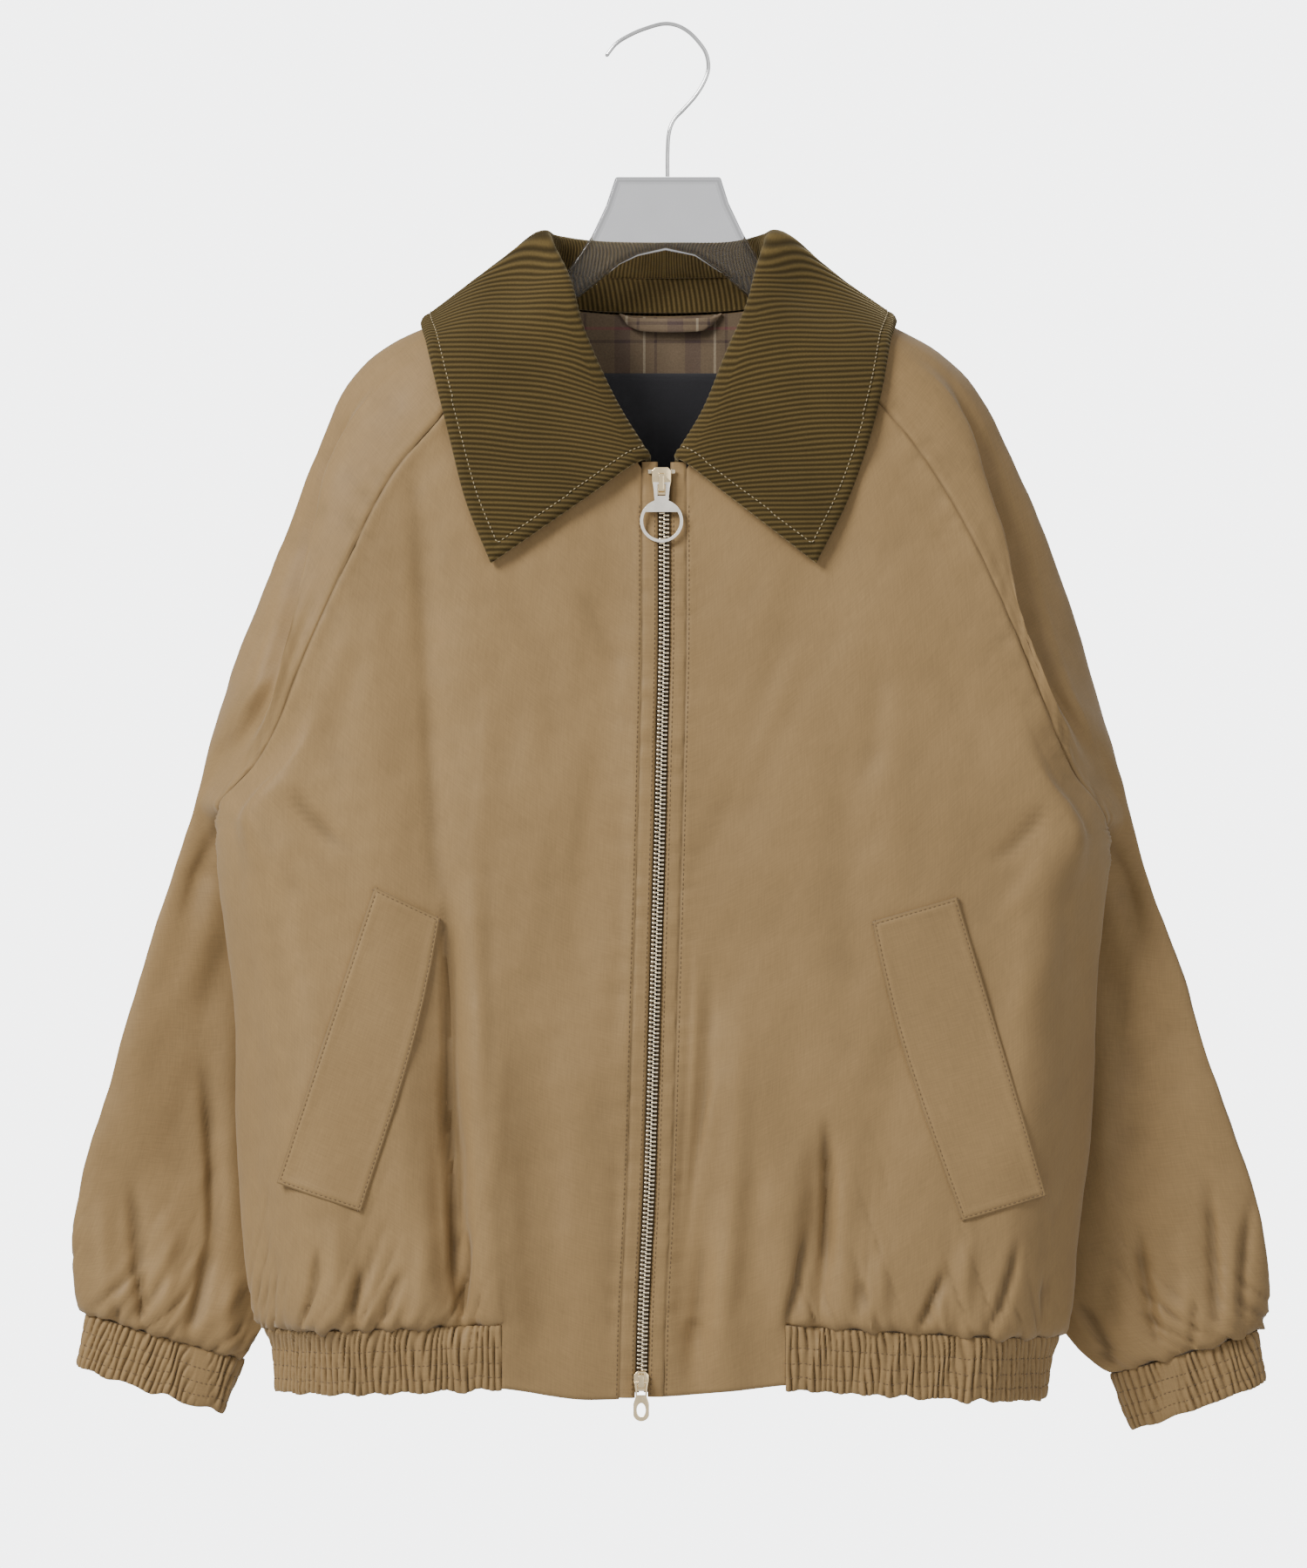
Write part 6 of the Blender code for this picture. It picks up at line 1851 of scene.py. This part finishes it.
def corduroy(name, colour):
    """Corduroy: pile cords with painted shade in the channels between them, a painted highlight on
    their crests, and an uneven nap.
    """
    material, node, link, shader = start_look(name)
    uv, place = coordinates(node)
    cord = bands(node, link, uv, WALE * MM, "X")
    # painted shade and highlight: the colour falls to 0.42 of itself in the channels and rises to
    # 1.36 on the crests
    pile = ramp(node, link, cord, (
        (0.0, scaled(colour, 0.42)), (0.5, scaled(colour, 0.80)), (0.95, scaled(colour, 1.36))))
    nap = mottled(node, link, place, 22.0, 0.80, 1.0, between=(0.3, 0.75))
    fibre = mottled(node, link, uv, 1100.0, 0.62, 1.0, 4.0, 0.7, (0.25, 0.75))
    shade = blend(node, link, "MULTIPLY", 1.0, pile, nap)
    link(blend(node, link, "MULTIPLY", 1.0, shade, fibre), shader.inputs["Base Color"])
    link(ramp(node, link, cord, ((0.0, 0.95), (1.0, 0.82))), shader.inputs["Roughness"])
    shader.inputs["Sheen Weight"].default_value = 0.5
    shader.inputs["Sheen Roughness"].default_value = 0.4
    shader.inputs["Sheen Tint"].default_value = (0.9, 0.75, 0.45, 1.0)
    shader.inputs["Specular IOR Level"].default_value = 0.15
    ribs = bump(node, link, cord, 0.5, 0.0005)
    fuzz = bump(node, link, noise(node, link, uv, 700.0, 4.0, 0.7), 0.35, 0.0004, ribs)
    link(fuzz, shader.inputs["Normal"])
    return material


def check_lining(name, ground, bar, line, stripe):
    """A plain windowpane check, woven in, with crossing bars and thin lines."""
    material, node, link, shader = start_look(name)
    uv, place = coordinates(node)
    stripes = []
    for direction, pitch, thin in (("X", 0.044, line), ("Y", 0.050, stripe)):
        stops = ((0.0, ground), (0.30, bar), (0.52, ground), (0.70, thin), (0.735, ground),
                 (0.86, scaled(bar, 0.7)), (0.90, ground))
        stripes.append(ramp(node, link, bands(node, link, uv, pitch, direction, "SAW"), stops,
                            True))
    check = blend(node, link, "MIX", 0.5, *stripes)
    fine = mottled(node, link, uv, 800.0, 0.78, 1.0)
    link(blend(node, link, "MULTIPLY", 1.0, check, fine), shader.inputs["Base Color"])
    link(mottled(node, link, place, 40.0, 0.7, 0.82), shader.inputs["Roughness"])
    shader.inputs["Sheen Weight"].default_value = 0.15
    shader.inputs["Specular IOR Level"].default_value = 0.25
    link(threads(node, link, uv, 0.0007, 0.25, 0.0001), shader.inputs["Normal"])
    return material


def plain_weave(name, colour, pitch, roughness, sheen=0.1):
    """A close plain weave for tapes, labels and thread."""
    material, node, link, shader = start_look(name)
    uv, place = coordinates(node)
    link(mottled(node, link, place, 1500.0, scaled(colour, 0.8), scaled(colour, 1.15)),
         shader.inputs["Base Color"])
    link(mottled(node, link, place, 60.0, roughness - 0.06, roughness + 0.06),
         shader.inputs["Roughness"])
    shader.inputs["Sheen Weight"].default_value = sheen
    shader.inputs["Specular IOR Level"].default_value = 0.3
    link(threads(node, link, uv, pitch, 0.3, 0.0001), shader.inputs["Normal"])
    return material


def metal(name, colour, roughness, mirror=1.0):
    """Cast or plated metal, a little uneven, and duller where hands have rubbed it."""
    material, node, link, shader = start_look(name)
    place = node("ShaderNodeTexCoord").outputs["Object"]
    link(mottled(node, link, place, 160.0, scaled(colour, 0.86), scaled(colour, 1.06)),
         shader.inputs["Base Color"])
    link(mottled(node, link, place, 260.0, roughness * 0.75, roughness * 1.3, 4.0),
         shader.inputs["Roughness"])
    shader.inputs["Metallic"].default_value = mirror
    link(bump(node, link, noise(node, link, place, 900.0, 3.0), 0.08, 0.0001),
         shader.inputs["Normal"])
    return material


def clear_plastic(name, tint):
    """Thick clear moulded plastic with faint haze and handling marks, its rounded edges and border
    darkened with painted shade.
    """
    material, node, link, shader = start_look(name)
    place = node("ShaderNodeTexCoord").outputs["Object"]
    haze = noise(node, link, place, 60.0, 4.0)
    clear = ramp(node, link, haze, ((0.35, scaled(tint, 0.97)), (0.7, tint)))
    # painted shade: the tint darkens to about 0.42 on the rounded edges, standing for the light
    # that they bend away
    rim = node("ShaderNodeAttribute")
    rim.attribute_name = "rim"
    edge = ramp(node, link, rim.outputs["Fac"], ((0.01, 1.0), (0.12, 0.62), (0.9, 0.42)))
    link(blend(node, link, "MULTIPLY", 1.0, clear, edge), shader.inputs["Base Color"])
    link(ramp(node, link, haze, ((0.35, 0.01), (0.75, 0.05))), shader.inputs["Roughness"])
    shader.inputs["Transmission Weight"].default_value = 0.99
    shader.inputs["IOR"].default_value = 1.28
    link(bump(node, link, noise(node, link, place, 40.0, 2.0), 0.02, 0.00005),
         shader.inputs["Normal"])
    return material


LOOKS = {}


def looks(context):
    """Every finish, made once from the colours in the settings."""
    if LOOKS:
        return LOOKS
    cloth = context.scene.jacket_cloth
    trim = context.scene.jacket_trim
    LOOKS.update(
        shell=woven_shell("close woven shell", cloth.shell_colour, cloth.thread_pitch),
        cord=corduroy("olive corduroy", cloth.corduroy_colour),
        lining=check_lining("check lining", cloth.lining_ground, cloth.lining_bar,
                            cloth.lining_line, cloth.lining_stripe),
        label=plain_weave("dark satin label", cloth.label_colour, 0.0005, 0.5, 0.2),
        tape=plain_weave("zip tape", trim.tape_colour, 0.0009, 0.8),
        thread=plain_weave("shell thread", cloth.thread_colour_and_shade, 0.0004, 0.6, 0.2),
        collar_thread=plain_weave("corduroy thread", cloth.corduroy_thread, 0.0004, 0.7, 0.2),
        teeth=metal("pale plated teeth", trim.teeth_colour, 0.24),
        gilt=metal("pale gilt", trim.slider_colour, 0.2),
        silver=metal("bright nickel", trim.ring_colour, 0.18, mirror=0.45),
        wire=metal("bright wire", trim.wire_colour, 0.16),
        clear=clear_plastic("clear plastic", trim.plastic_tint),
    )
    return LOOKS


# ---- settings


def colour(name, description, default):
    return bpy.props.FloatVectorProperty(
        name=name, description=description, default=default, subtype="COLOR", size=3, min=0, max=1)


def number(name, description, default, least, most, unit="NONE"):
    return bpy.props.FloatProperty(name=name, description=description, default=default, min=least,
                                   max=most, unit=unit)


class JacketCloth(bpy.types.PropertyGroup):
    """Colours and weaves of the jacket's cloths."""

    shell_colour: colour("Shell", "Colour of the outer cloth", (0.301, 0.190, 0.079))
    corduroy_colour: colour("Corduroy", "Colour of the collar's cords", (0.100, 0.067, 0.021))
    corduroy_thread: colour("Collar thread", "Colour of the collar's stitches",
                            (0.370, 0.290, 0.160))
    thread_colour_and_shade: colour("Shell thread", "Colour of the shell's stitches", (0.150, 0.092, 0.040))
    # partly the thread's own tone and partly painted shade: darker than the shell, for where each
    # stitch sinks into the cloth
    lining_ground: colour("Lining ground", "Ground colour of the check", (0.170, 0.118, 0.070))
    lining_bar: colour("Lining bar", "Colour of the check's bars", (0.098, 0.062, 0.052))
    lining_line: colour("Lining line", "Colour of the check's thin lines", (0.46, 0.38, 0.26))
    lining_stripe: colour("Lining stripe", "Colour of the check's level lines",
                          (0.24, 0.075, 0.075))
    label_colour: colour("Label", "Colour of the bare neck label", (0.014, 0.013, 0.016))
    thread_pitch: number("Thread pitch", "Distance between the shell's threads", 0.0005, 0.0001,
                         0.005, "LENGTH")


class JacketTrim(bpy.types.PropertyGroup):
    """Colours of the zip and the hanger, and the size of the stitches."""

    tape_colour: colour("Zip tape", "Colour of the zip's tapes", (0.130, 0.090, 0.048))
    teeth_colour: colour("Teeth", "Colour of the zip's teeth", (0.72, 0.62, 0.45))
    slider_colour: colour("Sliders", "Colour of the sliders", (0.88, 0.70, 0.42))
    ring_colour: colour("Ring", "Colour of the ring pull", (0.92, 0.86, 0.76))
    wire_colour: colour("Hook", "Colour of the wire hook", (0.72, 0.72, 0.72))
    plastic_tint: colour("Hanger", "Tint of the clear hanger", (0.91, 0.91, 0.93))
    stitch_pitch: number("Stitch", "Length of one stitch", 0.0030, 0.001, 0.01, "LENGTH")
    stitch_thickness: number("Thread thickness", "Thickness of a stitch", 0.0007, 0.0002, 0.003,
                             "LENGTH")


class JacketStage(bpy.types.PropertyGroup):
    """The plain studio round the jacket."""

    distance: number("Camera distance", "From the camera to the jacket", 4.0, 1, 20, "LENGTH")
    frame_height: number("Height in view", "How tall the picture is at the jacket", 0.972, 0.1, 5,
                         "LENGTH")
    key_power: number("Key light", "Power of the large soft light", 225.0, 0, 2000, "POWER")
    fill_power: number("Fill light", "Power of the light opposite", 30.0, 0, 2000, "POWER")
    surround: number("Room light", "Light that the pale room gives", 0.38, 0, 10)
    glint: number("Glint", "Brightness of the room in shiny metal", 1.1, 0, 10)
    backdrop: number("Backdrop", "Brightness of the room as the camera sees it", 5.2, 0, 20)


# ---- stage

PICTURE_CENTRE = (-6.5, 470.0)
FLOOR_DROP = 1900.0


def soft_light(name, place, aim, size, power):
    data = bpy.data.lights.new(name, "AREA")
    data.shape = "SQUARE"
    data.size = size
    data.energy = power
    obj = bpy.data.objects.new(name, data)
    obj.location = place
    obj.rotation_euler = (Vector(aim) - Vector(place)).to_track_quat("-Z", "Y").to_euler()
    bpy.context.scene.collection.objects.link(obj)
    return obj


def build_stage(scene):
    stage = scene.jacket_stage
    bm = bmesh.new()
    bmesh.ops.create_grid(bm, x_segments=1, y_segments=1, size=3.0)
    mesh = bpy.data.meshes.new("floor")
    bm.to_mesh(mesh)
    bm.free()
    mesh.transform(Matrix.Translation((0, 0, -FLOOR_DROP * MM)))
    material, node, link, shader = start_look("pale floor")
    place = node("ShaderNodeTexCoord").outputs["Object"]
    link(mottled(node, link, place, 2.0, 0.74, 0.78), shader.inputs["Base Color"])
    shader.inputs["Roughness"].default_value = 0.9
    floor = put("floor", mesh, material)
    x, drop = PICTURE_CENTRE
    centre = (x * MM, 0.0, -drop * MM)
    key = soft_light("key light", (-2.5, -2.4, 1.9), centre, 1.7, stage.key_power)
    fill = soft_light("fill light", (2.0, -3.2, 0.2), centre, 2.6, stage.fill_power)
    world = bpy.data.worlds.new("pale room")
    world.use_nodes = True
    node, link = world.node_tree.nodes.new, world.node_tree.links.new
    room = world.node_tree.nodes["Background"]
    room.inputs["Color"].default_value = (0.94, 0.95, 0.96, 1.0)
    room.inputs["Strength"].default_value = stage.surround
    seen = node("ShaderNodeBackground")
    seen.inputs["Color"].default_value = (0.94, 0.95, 0.96, 1.0)
    seen.inputs["Strength"].default_value = stage.backdrop
    shine = node("ShaderNodeBackground")
    shine.inputs["Strength"].default_value = stage.glint
    rays = node("ShaderNodeLightPath")
    last = room.outputs[0]
    for ray, other in (("Is Glossy Ray", shine), ("Is Transmission Ray", shine),
                       ("Is Camera Ray", seen)):
        either = node("ShaderNodeMixShader")
        link(rays.outputs[ray], either.inputs["Fac"])
        link(last, either.inputs[1])
        link(other.outputs[0], either.inputs[2])
        last = either.outputs[0]
    link(last, world.node_tree.nodes["World Output"].inputs["Surface"])
    scene.world = world
    data = bpy.data.cameras.new("camera")
    data.sensor_width = 36.0
    data.lens = 36.0 * stage.distance / stage.frame_height
    camera = bpy.data.objects.new("camera", data)
    camera.location = (x * MM, -stage.distance, -drop * MM)
    camera.rotation_euler = (math.radians(90), 0, 0)
    scene.collection.objects.link(camera)
    scene.camera = camera


# ---- operators


class JACKET_OT_fronts(bpy.types.Operator):
    """Build the two creased fronts"""

    bl_idname = "jacket.fronts"
    bl_label = "Fronts"

    def execute(self, context):
        for side in (LEFT, RIGHT):
            front_piece(side, looks(context)["shell"])
        return {"FINISHED"}


class JACKET_OT_back(bpy.types.Operator):
    """Build the creased back"""

    bl_idname = "jacket.back"
    bl_label = "Back"

    def execute(self, context):
        back_piece(looks(context)["shell"])
        return {"FINISHED"}


class JACKET_OT_sleeves(bpy.types.Operator):
    """Build the two raglan sleeves with their folds"""

    bl_idname = "jacket.sleeves"
    bl_label = "Sleeves"

    def execute(self, context):
        for side in (LEFT, RIGHT):
            sleeve_piece(side, looks(context)["shell"])
        return {"FINISHED"}


class JACKET_OT_bands(bpy.types.Operator):
    """Build the gathered hem bands and cuffs"""

    bl_idname = "jacket.bands"
    bl_label = "Hem bands and cuffs"

    def execute(self, context):
        band_pieces(looks(context)["shell"])
        return {"FINISHED"}


class JACKET_OT_collar(bpy.types.Operator):
    """Build the corduroy collar and its stand"""

    bl_idname = "jacket.collar"
    bl_label = "Collar"

    def execute(self, context):
        collar_pieces(looks(context)["cord"])
        return {"FINISHED"}


class JACKET_OT_neck(bpy.types.Operator):
    """Build the check lining, the bare label and the hanging loop"""

    bl_idname = "jacket.neck"
    bl_label = "Lining, label and loop"

    def execute(self, context):
        neck_pieces(looks(context))
        return {"FINISHED"}


class JACKET_OT_zip(bpy.types.Operator):
    """Build the zip's strips, tapes, teeth, stops, sliders and pulls"""

    bl_idname = "jacket.zip"
    bl_label = "Zip"

    def execute(self, context):
        finish = looks(context)
        zip_cloth(finish)
        chain_piece(finish["teeth"])
        for word in ("left", "right"):
            node_copy("zip_stop_" + word, "zip_stop_" + word + "_metal", finish["teeth"], 0.35)
        node_copy("top_slider", "top_slider_metal", finish["gilt"], 0.3)
        node_copy("bottom_slider", "bottom_slider_metal", finish["gilt"], 0.3)
        node_copy("top_pull", "top_pull_metal", finish["silver"], 0.4, body="top_pull")
        lower_pull(finish["gilt"])
        return {"FINISHED"}


class JACKET_OT_welts(bpy.types.Operator):
    """Build the slanted pocket welts"""

    bl_idname = "jacket.welts"
    bl_label = "Pocket welts"

    def execute(self, context):
        welt_pieces(looks(context)["shell"])
        return {"FINISHED"}


class JACKET_OT_stitches(bpy.types.Operator):
    """Sew the rows of stitches on the finished pieces"""

    bl_idname = "jacket.stitches"
    bl_label = "Stitches"

    def execute(self, context):
        trim = context.scene.jacket_trim
        stitch_pieces(looks(context), trim.stitch_pitch / MM, trim.stitch_thickness / MM)
        return {"FINISHED"}


class JACKET_OT_hanger(bpy.types.Operator):
    """Build the clear hanger and its wire hook"""

    bl_idname = "jacket.hanger"
    bl_label = "Hanger"

    def execute(self, context):
        finish = looks(context)
        node_copy("hanger_body", "hanger_body_clear", finish["clear"], 1.4, 4, border=3.0)
        hook_piece(finish["wire"])
        return {"FINISHED"}


class JACKET_OT_stage(bpy.types.Operator):
    """Set the floor, the soft lights, the pale room and the camera"""

    bl_idname = "jacket.stage"
    bl_label = "Stage"

    def execute(self, context):
        build_stage(context.scene)
        return {"FINISHED"}


class JACKET_PT_panel(bpy.types.Panel):
    """Lists the jacket's settings and pieces"""

    bl_idname = "JACKET_PT_panel"
    bl_label = "Jacket"
    bl_space_type = "VIEW_3D"
    bl_region_type = "UI"
    bl_category = "Jacket"

    def draw(self, context):
        layout = self.layout
        for group in SETTINGS:
            for name in SETTINGS[group].__annotations__:
                layout.prop(getattr(context.scene, group), name)
        for operator in OPERATORS:
            layout.operator(operator.bl_idname)


SETTINGS = {
    "jacket_cloth": JacketCloth, "jacket_trim": JacketTrim, "jacket_stage": JacketStage,
}
OPERATORS = (
    JACKET_OT_fronts, JACKET_OT_back, JACKET_OT_sleeves, JACKET_OT_bands, JACKET_OT_collar,
    JACKET_OT_neck, JACKET_OT_zip, JACKET_OT_welts, JACKET_OT_stitches, JACKET_OT_hanger,
    JACKET_OT_stage,
)


def register():
    for kind in (*SETTINGS.values(), *OPERATORS, JACKET_PT_panel):
        bpy.utils.register_class(kind)
    for group, kind in SETTINGS.items():
        setattr(bpy.types.Scene, group, bpy.props.PointerProperty(type=kind))


def unregister():
    for group in SETTINGS:
        delattr(bpy.types.Scene, group)
    for kind in reversed((*SETTINGS.values(), *OPERATORS, JACKET_PT_panel)):
        bpy.utils.unregister_class(kind)


def main():
    register()
    for operator in OPERATORS:
        family, name = operator.bl_idname.split(".")
        if getattr(getattr(bpy.ops, family), name)() != {"FINISHED"}:
            raise RuntimeError(operator.bl_label + " was not finished")


if __name__ == "__main__":
    main()
